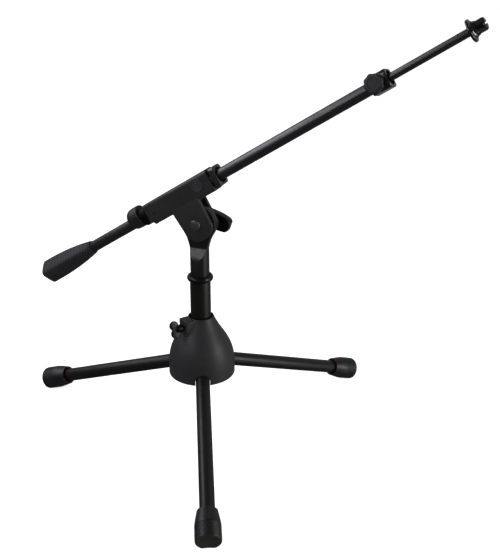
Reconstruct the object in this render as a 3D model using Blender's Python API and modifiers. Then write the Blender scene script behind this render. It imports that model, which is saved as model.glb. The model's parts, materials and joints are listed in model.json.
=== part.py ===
"""Low boom microphone stand: folding three-leg base, short swivelling column and telescopic boom.

Metres, +Z up. The floor is z = 0 and the boom points towards +X. Each group of parts hangs from an
empty that sits on its joint's axis: one per leg at its hinge pin, and one at the boom's tilt pivot.
"""
import math

import bmesh
import bpy
from mathutils import Vector

# Overall layout -------------------------------------------------------------------------------
COLUMN_X = -0.0364            # column axis, so that the object's box is centred on the origin
COLUMN_Y = 0.0101
PIVOT_HEIGHT = 0.3228         # boom tilt pivot above the floor
BOOM_ANGLE = math.radians(33.1)
GAP = 0.0003                  # play left between neighbouring pieces
ROUND = 32                    # sides of a large round piece
SMALL_ROUND = 20              # sides of a small round piece

# Legs -----------------------------------------------------------------------------------------
LEG_NAMES = ("left", "front", "right")
LEG_FIRST_AZIMUTH = math.radians(175.4)
LEG_SLOPE = math.radians(20.5)
LEG_APEX_HEIGHT = 0.1182      # where the three leg axes meet the column axis
LEG_RADIUS = 0.010
LEG_WALL = 0.0015
LEG_TUBE_START = 0.0152       # along the leg, from its hinge pin
LEG_TUBE_END = 0.2695
HINGE_RADIUS = 0.025          # hinge pins' distance from the column axis
HINGE_HEIGHT = LEG_APEX_HEIGHT - HINGE_RADIUS * math.tan(LEG_SLOPE)
TONGUE_HALF_WIDTH = 0.005
TONGUE_HALF_HEIGHT = 0.006
TONGUE_END_RADIUS = 0.007
LUG_RADIUS = 0.0075
LUG_THICKNESS = 0.005
PIN_RADIUS = 0.0025
PIN_HEAD_RADIUS = 0.0036
PIN_HEAD_LENGTH = 0.0012

FOOT_START = 0.2322
FOOT_END = 0.2750
FOOT_MOUTH_RADIUS = 0.0138
FOOT_RADIUS = 0.0171
FOOT_END_RADIUS = 0.0154
FOOT_WIDEST = 0.2600
FOOT_RING_LENGTH = 0.0012
FOOT_RING_RADIUS = 0.0132

# Hub ------------------------------------------------------------------------------------------
HUB_RIM_HEIGHT = 0.0948
HUB_TOP_HEIGHT = 0.1834
HUB_RADIUS = 0.0475
HUB_WALL = 0.003
HUB_SHOULDER = ((0.0278, 0.1642), (0.0424, 0.1430), (0.0476, 0.1312), (HUB_RADIUS, 0.1080))
HUB_LIP_RADIUS = 0.0184
HUB_BORE_RADIUS = 0.0168
GUIDE_SEAT_RADIUS = 0.0177
GUIDE_TOP = 0.1773
GUIDE_LEDGE = 0.158
NOTCH_HALF_WIDTH = 0.0114
NOTCH_ARCH_HEIGHT = 0.1013
BOSS_REACH = 0.0297
BOSS_HALF_WIDTH = 0.0105
BOSS_BOTTOM = 0.1605
BOSS_TOP = 0.1828
SCREW_AZIMUTH = LEG_FIRST_AZIMUTH + math.radians(60.0)
SCREW_HEIGHT = 0.1717
SCREW_RADIUS = 0.003
SCREW_COLLAR_START = 0.0312    # from the column axis, like the ears' distances
EAR_RADIUS = 0.0070            # the wing screw's two ears
EAR_CENTRE = 0.0430
EAR_OFFSET = 0.0056
EAR_TURN = math.radians(22.0)
PILLAR_RADIUS = 0.0045
PILLAR_CIRCLE = 0.036
PILLAR_TOP = 0.137
PILLAR_SCREW_RADIUS = 0.002
CARRIER_BOTTOM = 0.1206
CARRIER_TOP = 0.126
CARRIER_RADIUS = 0.041
CARRIER_BORE = 0.0185

# Column and swivel shank ----------------------------------------------------------------------
COLUMN_RADIUS = 0.0145
COLUMN_WALL = 0.0015
COLUMN_BOTTOM = 0.1204
COLUMN_TOP = 0.2375
PLUG_RADIUS = 0.016
PLUG_BOTTOM = 0.1174
COLLAR_RADIUS = 0.0184
COLLAR_BOTTOM = 0.2378
COLLAR_TOP = 0.2464
SHANK_RADIUS = 0.0134
SHANK_SPIGOT_RADIUS = 0.0127
SHANK_SPIGOT_BOTTOM = 0.200
SHANK_SHOULDER = 0.2400
FLAT_BOTTOM = 0.270           # where the slanted flats leave the round shank
FLAT_TOP = 0.287
TONGUE_DISC_RADIUS = 0.0255
TONGUE_DISC_HALF = 0.005

# Boom head: X along the boom, from a point near the pivot's foot on the boom's axis -------------
BOOM_OFFSET = 0.042           # boom axis above the tilt pivot
BOOM_SHIFT = -0.0028          # that point, along the boom from the pivot
HEAD_HALF_LENGTH = 0.057
HEAD_HALF_DEPTH = 0.012
HEAD_HALF_HEIGHT = 0.0156
HEAD_EDGE = 0.005
HEAD_BORE = 0.0105
HEAD_STEP_X = -0.052
HEAD_STEP_Z = -0.0116
NECK_HALF_WIDTH = 0.0212
NECK_TOP_HALF_WIDTH = 0.0245
NECK_END_RADIUS = 0.024
SLOT_HALF = 0.0066
SLOT_RADIUS = 0.0263
WASHER_RADIUS = 0.022
BOLT_RADIUS = 0.004
BOLT_HEAD_RADIUS = 0.0075
BOLT_HEAD_HEIGHT = 0.0036
KNOB_HUB_RADIUS = 0.0125
KNOB_START = 0.0139
KNOB_WING_START = 0.0230
KNOB_END = 0.0360
KNOB_REACH = 0.0352
KNOB_TIP_HALF_HEIGHT = 0.0092
KNOB_TURN = math.radians(19.0)
BADGE_X = 0.0358
BADGE_Z = 0.0036
BADGE_RADIUS = 0.0095
SET_SCREW_X = -0.0445
SET_SCREW_Z = -0.0013
FRONT_CAP_START = 0.0602
FRONT_CAP_END = 0.0688
FRONT_CAP_HALF_DEPTH = 0.0125
FRONT_MOUTH = 0.0640
REAR_CAP_FRONT = -0.0685
REAR_CAP_BACK = -0.0896
REAR_CAP_LIFT = 0.0046        # the rear cap sits higher than the boom's axis
REAR_BAND_RADIUS = 0.0128

# Boom, distances along its axis ---------------------------------------------------------------
OUTER_RADIUS = 0.008
OUTER_WALL = 0.0011
OUTER_START = -0.257
OUTER_END = 0.3095
INNER_RADIUS = 0.005
INNER_WALL = 0.001
INNER_START = 0.035
INNER_END = 0.4345
PIN_X = 0.4222
PIN_TURN = math.radians(50.0)  # the cross pin's lean, about the boom's axis
STUD_PIN_RADIUS = 0.0010
STUD_PIN_HALF = 0.0043
STUD_PIN_HOLE = 0.0013
WEIGHT_NEAR = -0.1707
WEIGHT_FAR = -0.2645
WEIGHT_NEAR_RADIUS = 0.0094
WEIGHT_FAR_RADIUS = 0.0174
WEIGHT_ROLL = math.radians(-8.0)
CLUTCH_ROLL = math.radians(-12.0)
CLUTCH_START = 0.3055
CLUTCH_END = 0.3306
CLUTCH_HALF = 0.0118
CLUTCH_EDGE = 0.0052
CLUTCH_MOUTH_RADIUS = 0.0088
CLUTCH_KNOB_X = 0.3152
CLUTCH_KNOB_RADIUS = 0.0117
STUD_RADIUS = 0.00795         # 5/8 inch microphone thread
STUD_END = 0.4552
STUD_SLOT_DEPTH = 0.0026
STUD_SLOT_HALF = 0.0012
NUT_START = 0.4352
NUT_END = 0.4442
NUT_RADIUS = 0.0139


# Scene and material helpers -------------------------------------------------------------------
def clear_scene():
    for existing in list(bpy.data.objects):
        bpy.data.objects.remove(existing, do_unlink=True)


def new_collection(name):
    collection = bpy.data.collections.new(name)
    bpy.context.scene.collection.children.link(collection)
    return collection


def new_material(name, colour, roughness, metallic):
    material = bpy.data.materials.new(name)
    material.use_nodes = True
    shader = material.node_tree.nodes["Principled BSDF"]
    shader.inputs["Base Color"].default_value = (*colour, 1.0)
    shader.inputs["Roughness"].default_value = roughness
    shader.inputs["Metallic"].default_value = metallic
    return material


def new_empty(name, location, rotation=(0.0, 0.0, 0.0), parent=None):
    empty = bpy.data.objects.new(name, None)
    empty.location = location
    empty.rotation_euler = rotation
    empty.parent = parent
    PARTS.objects.link(empty)
    return empty


def place(obj, parent, location=(0.0, 0.0, 0.0), rotation=(0.0, 0.0, 0.0)):
    obj.parent = parent
    obj.location = location
    obj.rotation_euler = rotation
    return obj


def as_part(obj, material):
    """Moves an object into the parts collection and gives it its material."""
    if obj.name not in PARTS.objects:
        PARTS.objects.link(obj)
    if obj.name in CUTTERS.objects:
        CUTTERS.objects.unlink(obj)
    obj.data.materials.clear()
    obj.data.materials.append(material)
    obj.hide_render = False
    obj.display_type = "TEXTURED"
    return obj


def mesh_object(name, bm):
    """A new object from a bmesh. It is a guide until as_part makes it a part."""
    mesh = bpy.data.meshes.new(name)
    bm.to_mesh(mesh)
    bm.free()
    obj = bpy.data.objects.new(name, mesh)
    CUTTERS.objects.link(obj)
    obj.hide_render = True
    obj.display_type = "WIRE"
    return obj


# Shape helpers --------------------------------------------------------------------------------
def turned(name, profile, sides=ROUND, ring=False):
    """A profile of (radius, height) pairs, listed down its outer side, turned about local Z."""
    bm = bmesh.new()
    points = [bm.verts.new((radius, 0.0, height)) for radius, height in profile]
    for first, second in zip(points, points[1:]):
        bm.edges.new((first, second))
    if ring:
        bm.edges.new((points[-1], points[0]))
    obj = mesh_object(name, bm)
    screw = obj.modifiers.new("Turn", "SCREW")
    screw.axis = "Z"
    screw.angle = math.tau
    screw.steps = sides
    screw.render_steps = sides
    screw.use_merge_vertices = True
    screw.merge_threshold = 0.00001
    screw.use_smooth_shade = True
    return obj


def solid_profile(*steps):
    """A profile that starts and ends on the axis, from (radius, height) steps listed downwards."""
    return [(0.0, steps[0][1]), *steps, (0.0, steps[-1][1])]


def tube_profile(outer, inner, low, high):
    return [(outer, high), (outer, low), (inner, low), (inner, high)]


def tube(name, outer, inner, low, high, sides=ROUND):
    return turned(name, tube_profile(outer, inner, low, high), sides, ring=True)


def cylinder(name, radius, low, high, sides=SMALL_ROUND):
    bm = bmesh.new()
    bmesh.ops.create_cone(
        bm, cap_ends=True, segments=sides, radius1=radius, radius2=radius, depth=high - low
    )
    bmesh.ops.translate(bm, verts=bm.verts, vec=(0.0, 0.0, (low + high) / 2))
    return mesh_object(name, bm)


def block(name, low, high, edge=0.0, edge_axis=0, edge_segments=3):
    """A box between two corners, with its edges along one axis rounded."""
    low = Vector(low)
    high = Vector(high)
    bm = bmesh.new()
    bmesh.ops.create_cube(bm, size=1.0)
    bmesh.ops.scale(bm, vec=high - low, verts=bm.verts)
    bmesh.ops.translate(bm, vec=(low + high) / 2, verts=bm.verts)
    if edge > 0.0:
        along = [e for e in bm.edges if runs_along(e, edge_axis)]
        bmesh.ops.bevel(
            bm, geom=along, offset=edge, segments=edge_segments, profile=0.5, affect="EDGES"
        )
    return mesh_object(name, bm)


def runs_along(edge, axis):
    direction = edge.verts[1].co - edge.verts[0].co
    return abs(direction[axis]) > 0.9 * direction.length


def plate(name, outline, thickness):
    """A flat outline in local XY, thickened evenly to both sides along local Z."""
    curve = bpy.data.curves.new(name, "CURVE")
    curve.dimensions = "2D"
    curve.fill_mode = "BOTH"
    curve.extrude = thickness / 2
    spline = curve.splines.new("POLY")
    spline.points.add(len(outline) - 1)
    for point, (x, y) in zip(spline.points, outline):
        point.co = (x, y, 0.0, 1.0)
    spline.use_cyclic_u = True
    source = bpy.data.objects.new(name + "_outline", curve)
    CUTTERS.objects.link(source)
    bpy.context.view_layer.update()
    evaluated = source.evaluated_get(bpy.context.evaluated_depsgraph_get())
    mesh = bpy.data.meshes.new_from_object(evaluated)
    bpy.data.objects.remove(source, do_unlink=True)
    bm = bmesh.new()
    bm.from_mesh(mesh)
    bpy.data.meshes.remove(mesh)
    bmesh.ops.remove_doubles(bm, verts=bm.verts, dist=0.00001)
    bmesh.ops.recalc_face_normals(bm, faces=bm.faces)
    return mesh_object(name, bm)


def arc(centre, radius, start, end, steps):
    """Points on an arc, with angles in degrees."""
    angles = [math.radians(start + (end - start) * i / steps) for i in range(steps + 1)]
    return [(centre[0] + radius * math.cos(a), centre[1] + radius * math.sin(a)) for a in angles]


def bezier(start, first_handle, second_handle, end, steps):
    points = []
    for i in range(steps + 1):
        t = i / steps
        weights = ((1 - t) ** 3, 3 * t * (1 - t) ** 2, 3 * t * t * (1 - t), t ** 3)
        corners = (start, first_handle, second_handle, end)
        points.append(tuple(sum(w * c[k] for w, c in zip(weights, corners)) for k in (0, 1)))
    return points


def combine(obj, other, operation):
    boolean = obj.modifiers.new(operation.title(), "BOOLEAN")
    boolean.operation = operation
    boolean.solver = "EXACT"
    boolean.object = other


def cut(obj, *cutters):
    for cutter in cutters:
        combine(obj, cutter, "DIFFERENCE")


def join(obj, *others):
    for other in others:
        combine(obj, other, "UNION")


def soften(obj, width, segments=2):
    """Rounds the sharp edges left after cutting and joining."""
    bevel = obj.modifiers.new("Edges", "BEVEL")
    bevel.width = width
    bevel.segments = segments
    bevel.limit_method = "ANGLE"
    bevel.angle_limit = math.radians(40.0)
    bevel.use_clamp_overlap = True


def shade(obj, angle=35.0):
    obj.data.shade_smooth()
    obj.data.set_sharp_from_angle(angle=math.radians(angle))


# Base -----------------------------------------------------------------------------------------
def hub_outer_curve():
    """The bell's outer outline from its lip down to its rim."""
    return [(HUB_LIP_RADIUS, HUB_TOP_HEIGHT), (0.0208, 0.1768), *bezier(*HUB_SHOULDER, 7)]


def hub_profile():
    outer = hub_outer_curve()
    rim = [
        (HUB_RADIUS, HUB_RIM_HEIGHT + 0.0014),
        (HUB_RADIUS - 0.0004, HUB_RIM_HEIGHT + 0.0004),
        (HUB_RADIUS - 0.0014, HUB_RIM_HEIGHT),
        (HUB_RADIUS - HUB_WALL, HUB_RIM_HEIGHT),
    ]
    inside = [(radius - HUB_WALL, height - 0.0016) for radius, height in reversed(outer[3:])]
    inside = [point for point in inside if point[1] < GUIDE_LEDGE - 0.002]
    throat = [
        (0.0265, GUIDE_LEDGE),
        (GUIDE_SEAT_RADIUS, GUIDE_LEDGE),
        (GUIDE_SEAT_RADIUS, GUIDE_TOP),
        (HUB_BORE_RADIUS, GUIDE_TOP),
        (HUB_BORE_RADIUS, HUB_TOP_HEIGHT),
    ]
    return outer + rim + inside + throat


def screw_pose():
    """Rotation that turns local Z to the clamping screw's outward direction."""
    return (0.0, math.pi / 2, SCREW_AZIMUTH)


def build_hub(stand, materials):
    hub = turned("hub_housing", hub_profile(), 40, ring=True)
    place(hub, stand)
    boss = block(
        "hub_boss",
        (0.0, -BOSS_HALF_WIDTH, BOSS_BOTTOM),
        (BOSS_REACH, BOSS_HALF_WIDTH, BOSS_TOP),
        0.0016,
        0,
        2,
    )
    place(boss, stand, rotation=(0.0, 0.0, SCREW_AZIMUTH))
    join(hub, boss)
    bore = cylinder("hub_bore", HUB_BORE_RADIUS + 0.0001, 0.15, 0.2, 40)
    seat = cylinder("hub_guide_seat", GUIDE_SEAT_RADIUS + 0.0001, 0.15, GUIDE_TOP + 0.0001, 40)
    cut(hub, place(bore, stand), place(seat, stand))
    for index, azimuth in enumerate(pillar_azimuths()):
        pillar = cylinder(f"hub_pillar_{index}", PILLAR_RADIUS, CARRIER_TOP + GAP, PILLAR_TOP, 16)
        place(pillar, stand, on_circle(PILLAR_CIRCLE, azimuth))
        join(hub, pillar)
        thread = cylinder(f"pillar_hole_{index}", PILLAR_SCREW_RADIUS + GAP, CARRIER_TOP - 0.001,
                          PILLAR_TOP - 0.002, 12)
        cut(hub, place(thread, stand, on_circle(PILLAR_CIRCLE, azimuth)))
    for name, azimuth in zip(LEG_NAMES, leg_azimuths()):
        cut(hub, *leg_notch(name, azimuth, stand))
    screw_hole = cylinder("hub_screw_hole", SCREW_RADIUS + GAP, 0.010, 0.040, 16)
    cut(hub, place(screw_hole, stand, (0.0, 0.0, SCREW_HEIGHT), screw_pose()))
    as_part(hub, materials["cast"])


def leg_azimuths():
    return [LEG_FIRST_AZIMUTH + math.radians(120.0 * i) for i in range(3)]


def pillar_azimuths():
    return [azimuth + math.radians(60.0) for azimuth in leg_azimuths()]


def on_circle(radius, azimuth, height=0.0):
    return (radius * math.cos(azimuth), radius * math.sin(azimuth), height)


def leg_notch(name, azimuth, stand):
    """The arch that a leg passes through in the bell's wall."""
    side = NOTCH_HALF_WIDTH
    opening = block(f"notch_{name}", (0.040, -side, 0.080), (0.055, side, NOTCH_ARCH_HEIGHT))
    place(opening, stand, rotation=(0.0, 0.0, azimuth))
    arch = cylinder(f"notch_arch_{name}", side, 0.040, 0.055, 24)
    place(arch, stand, (0.0, 0.0, NOTCH_ARCH_HEIGHT), (0.0, math.pi / 2, azimuth))
    return opening, arch


def build_guide(stand, materials):
    guide = tube(
        "column_guide_bush",
        GUIDE_SEAT_RADIUS - GAP,
        COLUMN_RADIUS + GAP,
        GUIDE_LEDGE + 0.002,
        GUIDE_TOP - GAP,
    )
    place(guide, stand)
    hole = cylinder("guide_hole", 0.0034, 0.010, 0.022, 16)
    cut(guide, place(hole, stand, (0.0, 0.0, SCREW_HEIGHT), screw_pose()))
    as_part(guide, materials["plastic"])


def build_carrier(stand, materials):
    """The plate inside the bell whose lugs hold the three hinge pins."""
    carrier = tube("leg_carrier", CARRIER_RADIUS, CARRIER_BORE, CARRIER_BOTTOM, CARRIER_TOP, 36)
    place(carrier, stand)
    lug_centre = TONGUE_HALF_WIDTH + GAP + LUG_THICKNESS / 2
    lug_outline = [
        *arc((0.0, 0.0), LUG_RADIUS, 180.0, 360.0, 6),
        (LUG_RADIUS, CARRIER_TOP - HINGE_HEIGHT - 0.001),
        (-LUG_RADIUS, CARRIER_TOP - HINGE_HEIGHT - 0.001),
    ]
    for name, azimuth in zip(LEG_NAMES, leg_azimuths()):
        centre = on_circle(HINGE_RADIUS, azimuth, HINGE_HEIGHT)
        for side in (-1, 1):
            lug = plate(f"lug_{name}_{side + 1}", lug_outline, LUG_THICKNESS)
            sideways = on_circle(side * lug_centre, azimuth + math.pi / 2)
            location = tuple(a + b for a, b in zip(centre, sideways))
            join(carrier, place(lug, stand, location, (math.pi / 2, 0.0, azimuth)))
        pin_hole = cylinder(f"carrier_pin_hole_{name}", PIN_RADIUS + GAP, -0.015, 0.015, 12)
        cut(carrier, place(pin_hole, stand, centre, (math.pi / 2, 0.0, azimuth)))
    for index, azimuth in enumerate(pillar_azimuths()):
        hole = cylinder(f"carrier_screw_hole_{index}", PILLAR_SCREW_RADIUS + GAP, 0.115, 0.130, 12)
        cut(carrier, place(hole, stand, on_circle(PILLAR_CIRCLE, azimuth)))
        screw = turned(
            f"carrier_screw_{index + 1}",
            solid_profile((PILLAR_SCREW_RADIUS, PILLAR_TOP - 0.003),
                          (PILLAR_SCREW_RADIUS, CARRIER_BOTTOM - GAP),
                          (0.0038, CARRIER_BOTTOM - GAP), (0.0034, 0.1178)),
            12,
        )
        place(screw, stand, on_circle(PILLAR_CIRCLE, azimuth))
        as_part(screw, materials["steel"])
    as_part(carrier, materials["cast"])


def build_clamp(stand, materials):
    """The wing screw in the bell's boss, and the pad that it presses on the column."""
    screw = turned(
        "hub_wing_screw",
        solid_profile((0.0030, 0.0425), (0.0052, 0.0395), (0.0056, SCREW_COLLAR_START),
                      (SCREW_RADIUS, SCREW_COLLAR_START), (SCREW_RADIUS, 0.0178)),
        SMALL_ROUND,
    )
    height = (0.0, 0.0, SCREW_HEIGHT)
    place(screw, stand, height, screw_pose())
    wings = plate("screw_wings", wing_outline(), 0.0034)
    soften(wings, 0.0008, 1)
    join(screw, place(wings, stand, height, (math.pi / 2 + EAR_TURN, 0.0, SCREW_AZIMUTH)))
    as_part(screw, materials["steel"])
    pad = cylinder("clamp_pad", 0.0028, COLUMN_RADIUS + GAP, 0.0174, 16)
    as_part(place(pad, stand, height, screw_pose()), materials["brass"])


def wing_outline():
    """The wing screw's two ears, in the plane through its axis."""
    reach = math.degrees(math.atan2(EAR_OFFSET, math.sqrt(EAR_RADIUS ** 2 - EAR_OFFSET ** 2)))
    upper = arc((EAR_CENTRE, EAR_OFFSET), EAR_RADIUS, -reach, 180.0 + reach, 14)
    lower = arc((EAR_CENTRE, -EAR_OFFSET), EAR_RADIUS, 180.0 - reach, 360.0 + reach, 14)
    return upper + lower[1:-1]


# Legs -----------------------------------------------------------------------------------------
def build_leg(name, azimuth, stand, materials):
    hinge_place = on_circle(HINGE_RADIUS, azimuth, HINGE_HEIGHT)
    pin_pose = (math.pi / 2, 0.0, azimuth)
    reach = TONGUE_HALF_WIDTH + GAP + LUG_THICKNESS + GAP
    pin = turned(
        f"leg_pin_{name}",
        solid_profile((PIN_HEAD_RADIUS, reach + PIN_HEAD_LENGTH), (PIN_HEAD_RADIUS, reach),
                      (PIN_RADIUS, reach), (PIN_RADIUS, -reach),
                      (PIN_HEAD_RADIUS, -reach), (PIN_HEAD_RADIUS, -reach - PIN_HEAD_LENGTH)),
        16,
    )
    as_part(place(pin, stand, hinge_place, pin_pose), materials["steel"])

    hinge = new_empty(f"hinge_{name}", hinge_place, (0.0, LEG_SLOPE, azimuth), stand)
    along = (0.0, math.pi / 2, 0.0)
    leg = tube(f"leg_tube_{name}", LEG_RADIUS, LEG_RADIUS - LEG_WALL, LEG_TUBE_START, LEG_TUBE_END)
    as_part(place(leg, hinge, rotation=along), materials["tube"])

    plug_radius = LEG_RADIUS - LEG_WALL - GAP
    knuckle = turned(
        f"leg_knuckle_{name}",
        solid_profile((plug_radius, 0.040), (plug_radius, LEG_TUBE_START - GAP),
                      (LEG_RADIUS, LEG_TUBE_START - GAP), (LEG_RADIUS, 0.0128)),
        24,
    )
    place(knuckle, hinge, rotation=along)
    tongue_outline = [
        *arc((0.0, 0.0), TONGUE_END_RADIUS, 90.0, 270.0, 10),
        (0.0135, -TONGUE_HALF_HEIGHT),
        (0.0135, TONGUE_HALF_HEIGHT),
    ]
    tongue = plate(f"tongue_{name}", tongue_outline, 2 * TONGUE_HALF_WIDTH)
    join(knuckle, place(tongue, hinge, rotation=(math.pi / 2, 0.0, 0.0)))
    hole = cylinder(f"knuckle_hole_{name}", PIN_RADIUS + GAP, -0.012, 0.012, 12)
    cut(knuckle, place(hole, hinge, rotation=(math.pi / 2, 0.0, 0.0)))
    as_part(knuckle, materials["cast"])

    foot = turned(f"foot_{name}", foot_profile(), 24)
    place(foot, hinge, rotation=along)
    floor = block(f"floor_{name}", (0.2, -0.05, -0.02), (0.33, 0.05, 0.0))
    cut(foot, place(floor, stand, rotation=(0.0, 0.0, azimuth)))
    as_part(foot, materials["rubber"])
    ring = turned(
        f"foot_ring_{name}",
        [(FOOT_RING_RADIUS, FOOT_START + 0.0004), (FOOT_RING_RADIUS, FOOT_START - FOOT_RING_LENGTH),
         (LEG_RADIUS + GAP, FOOT_START - FOOT_RING_LENGTH), (LEG_RADIUS + GAP, FOOT_START + 0.0004)],
        24,
        ring=True,
    )
    as_part(place(ring, hinge, rotation=along), materials["red"])


def foot_profile():
    """A thick rubber boot, from its closed end back to the mouth that takes the leg."""
    bore = LEG_RADIUS + GAP
    seat = FOOT_RING_RADIUS - 0.0008
    nose = bezier((FOOT_END_RADIUS, FOOT_END), (0.0164, FOOT_END), (0.0169, 0.2742), (0.0169, 0.2722), 3)
    return [
        (0.0, FOOT_END),
        *nose,
        (FOOT_RADIUS, 0.2660),
        (FOOT_RADIUS, FOOT_WIDEST),
        (0.0164, 0.2520),
        (FOOT_MOUTH_RADIUS + 0.0006, FOOT_START + 0.0038),
        (FOOT_MOUTH_RADIUS, FOOT_START + 0.0014),
        (seat, FOOT_START + 0.0007),
        (bore, FOOT_START + 0.0007),
        (bore, LEG_TUBE_END + GAP),
        (0.0, LEG_TUBE_END + GAP),
    ]


# Column ---------------------------------------------------------------------------------------
def build_column(stand, materials):
    inner = COLUMN_RADIUS - COLUMN_WALL
    column = tube("column_tube", COLUMN_RADIUS, inner, COLUMN_BOTTOM, COLUMN_TOP, 40)
    as_part(place(column, stand), materials["tube"])
    plug = turned(
        "column_end_plug",
        solid_profile((inner - GAP, 0.136), (inner - GAP, COLUMN_BOTTOM - GAP),
                      (PLUG_RADIUS, COLUMN_BOTTOM - GAP), (PLUG_RADIUS, PLUG_BOTTOM)),
    )
    as_part(place(plug, stand), materials["plastic"])
    middle = (COLLAR_BOTTOM + COLLAR_TOP) / 2
    half = (COLLAR_TOP - COLLAR_BOTTOM) / 2
    bead = [
        (0.0148 + (COLLAR_RADIUS - 0.0148) * math.cos(angle), middle + half * math.sin(angle))
        for angle in (math.radians(90.0 - 30.0 * i) for i in range(7))
    ]
    bore = SHANK_RADIUS + GAP
    collar = turned(
        "column_collar",
        [*bead, (bore, COLLAR_BOTTOM), (bore, middle), (0.0145, COLLAR_TOP - 0.0006)],
        ROUND,
        ring=True,
    )
    as_part(place(collar, stand), materials["plastic"])


def build_shank(stand, materials):
    """The swivelling post: a round spigot and shank that end in a flat round tongue."""
    shank = turned(
        "swivel_shank",
        solid_profile((SHANK_RADIUS, 0.292), (SHANK_RADIUS, SHANK_SHOULDER),
                      (SHANK_SPIGOT_RADIUS, SHANK_SHOULDER),
                      (SHANK_SPIGOT_RADIUS, SHANK_SPIGOT_BOTTOM)),
        40,
    )
    place(shank, stand)
    for side in (-1, 1):
        flat = plate(f"shank_flat_{side + 1}", flat_outline(side), 0.06)
        cut(shank, place(flat, stand, rotation=(math.pi / 2, 0.0, math.pi / 2)))
    neck = math.sqrt(SHANK_RADIUS ** 2 - TONGUE_DISC_HALF ** 2) - 0.0001
    drop = PIVOT_HEIGHT - FLAT_TOP
    outline = [
        *arc((0.0, 0.0), TONGUE_DISC_RADIUS, -33.0, 213.0, 36),
        (-0.0168, -0.0220),
        (-neck - 0.0008, -drop + 0.0016),
        (-neck, -drop - 0.002),
        (neck, -drop - 0.002),
        (neck + 0.0008, -drop + 0.0016),
        (0.0168, -0.0220),
    ]
    disc = plate("shank_disc", outline, 2 * TONGUE_DISC_HALF)
    pivot = (0.0, 0.0, PIVOT_HEIGHT)
    join(shank, place(disc, stand, pivot, (math.pi / 2, 0.0, 0.0)))
    hole = cylinder("shank_bolt_hole", BOLT_RADIUS + GAP, -0.02, 0.02)
    cut(shank, place(hole, stand, pivot, (math.pi / 2, 0.0, 0.0)))
    as_part(shank, materials["cast"])


def flat_outline(side):
    """The metal milled away from one side of the shank: a slanted flat, then a straight one."""
    slope = (SHANK_RADIUS - TONGUE_DISC_HALF) / (FLAT_TOP - FLAT_BOTTOM)
    low = FLAT_BOTTOM - 0.002
    points = [
        (TONGUE_DISC_HALF, 0.310),
        (TONGUE_DISC_HALF, FLAT_TOP),
        (SHANK_RADIUS + slope * 0.002, low),
        (0.040, low),
        (0.040, 0.310),
    ]
    return [(side * across, height) for across, height in points]


# Boom head ------------------------------------------------------------------------------------
ACROSS = (-math.pi / 2, 0.0, 0.0)      # turns local Z to +Y, away from the bolt's head
UPRIGHT = (math.pi / 2, 0.0, 0.0)      # stands an XY outline up in the boom's plane
LENGTHWISE = (0.0, math.pi / 2, 0.0)   # turns local Z to the boom's +X


def build_head(head, line, materials):
    body = block(
        "boom_head",
        (-HEAD_HALF_LENGTH, -HEAD_HALF_DEPTH, -HEAD_HALF_HEIGHT),
        (HEAD_HALF_LENGTH, HEAD_HALF_DEPTH, HEAD_HALF_HEIGHT),
        HEAD_EDGE,
        0,
        4,
    )
    place(body, line)
    under = BOOM_OFFSET - HEAD_HALF_HEIGHT + HEAD_EDGE
    bend = math.degrees(math.acos(NECK_HALF_WIDTH / NECK_END_RADIUS))
    neck_outline = [
        *arc((0.0, 0.0), NECK_END_RADIUS, 180.0 + bend, 360.0 - bend, 16),
        (NECK_TOP_HALF_WIDTH, under),
        (-NECK_TOP_HALF_WIDTH + 0.002, under),
    ]
    neck = plate("head_neck", neck_outline, 2 * HEAD_HALF_DEPTH - 0.0004)
    join(body, place(neck, head, rotation=UPRIGHT))
    slot = cylinder("head_slot", SLOT_RADIUS, -SLOT_HALF, SLOT_HALF, 48)
    drop = block("head_slot_drop", (-0.03, -SLOT_HALF, -0.03), (0.03, SLOT_HALF, 0.0))
    bore = cylinder("head_bore", HEAD_BORE, -0.07, 0.07, ROUND)
    bolt_hole = cylinder("head_bolt_hole", BOLT_RADIUS + GAP, -0.02, 0.02)
    step = block("head_step", (-0.07, -0.02, -0.03), (HEAD_STEP_X, 0.02, HEAD_STEP_Z))
    screw_hole = cylinder("head_set_screw_hole", 0.0018, -0.013, -0.009, 12)
    cut(
        body,
        place(slot, head, rotation=ACROSS),
        place(drop, head),
        place(bore, line, rotation=LENGTHWISE),
        place(bolt_hole, head, rotation=ACROSS),
        place(step, line),
        place(screw_hole, line, (SET_SCREW_X, 0.0, SET_SCREW_Z), ACROSS),
    )
    as_part(body, materials["cast"])

    set_screw = cylinder("bush_set_screw", 0.0015, -0.0122, -0.0105, 12)
    place(set_screw, line, (SET_SCREW_X, 0.0, SET_SCREW_Z), ACROSS)
    as_part(set_screw, materials["steel"])
    badge = turned("head_badge", badge_profile(), ROUND)
    place(badge, line, (BADGE_X, 0.0, BADGE_Z), ACROSS)
    as_part(badge, materials["plastic"])


def badge_profile():
    """A plain round badge with a raised rim, on the head's front face."""
    back = -HEAD_HALF_DEPTH - 0.0001
    return [
        (0.0, back),
        (BADGE_RADIUS, back),
        (BADGE_RADIUS, back - 0.0006),
        (BADGE_RADIUS - 0.0012, back - 0.0008),
        (BADGE_RADIUS - 0.0018, back - 0.0004),
        (0.0, back - 0.0004),
    ]


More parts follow.
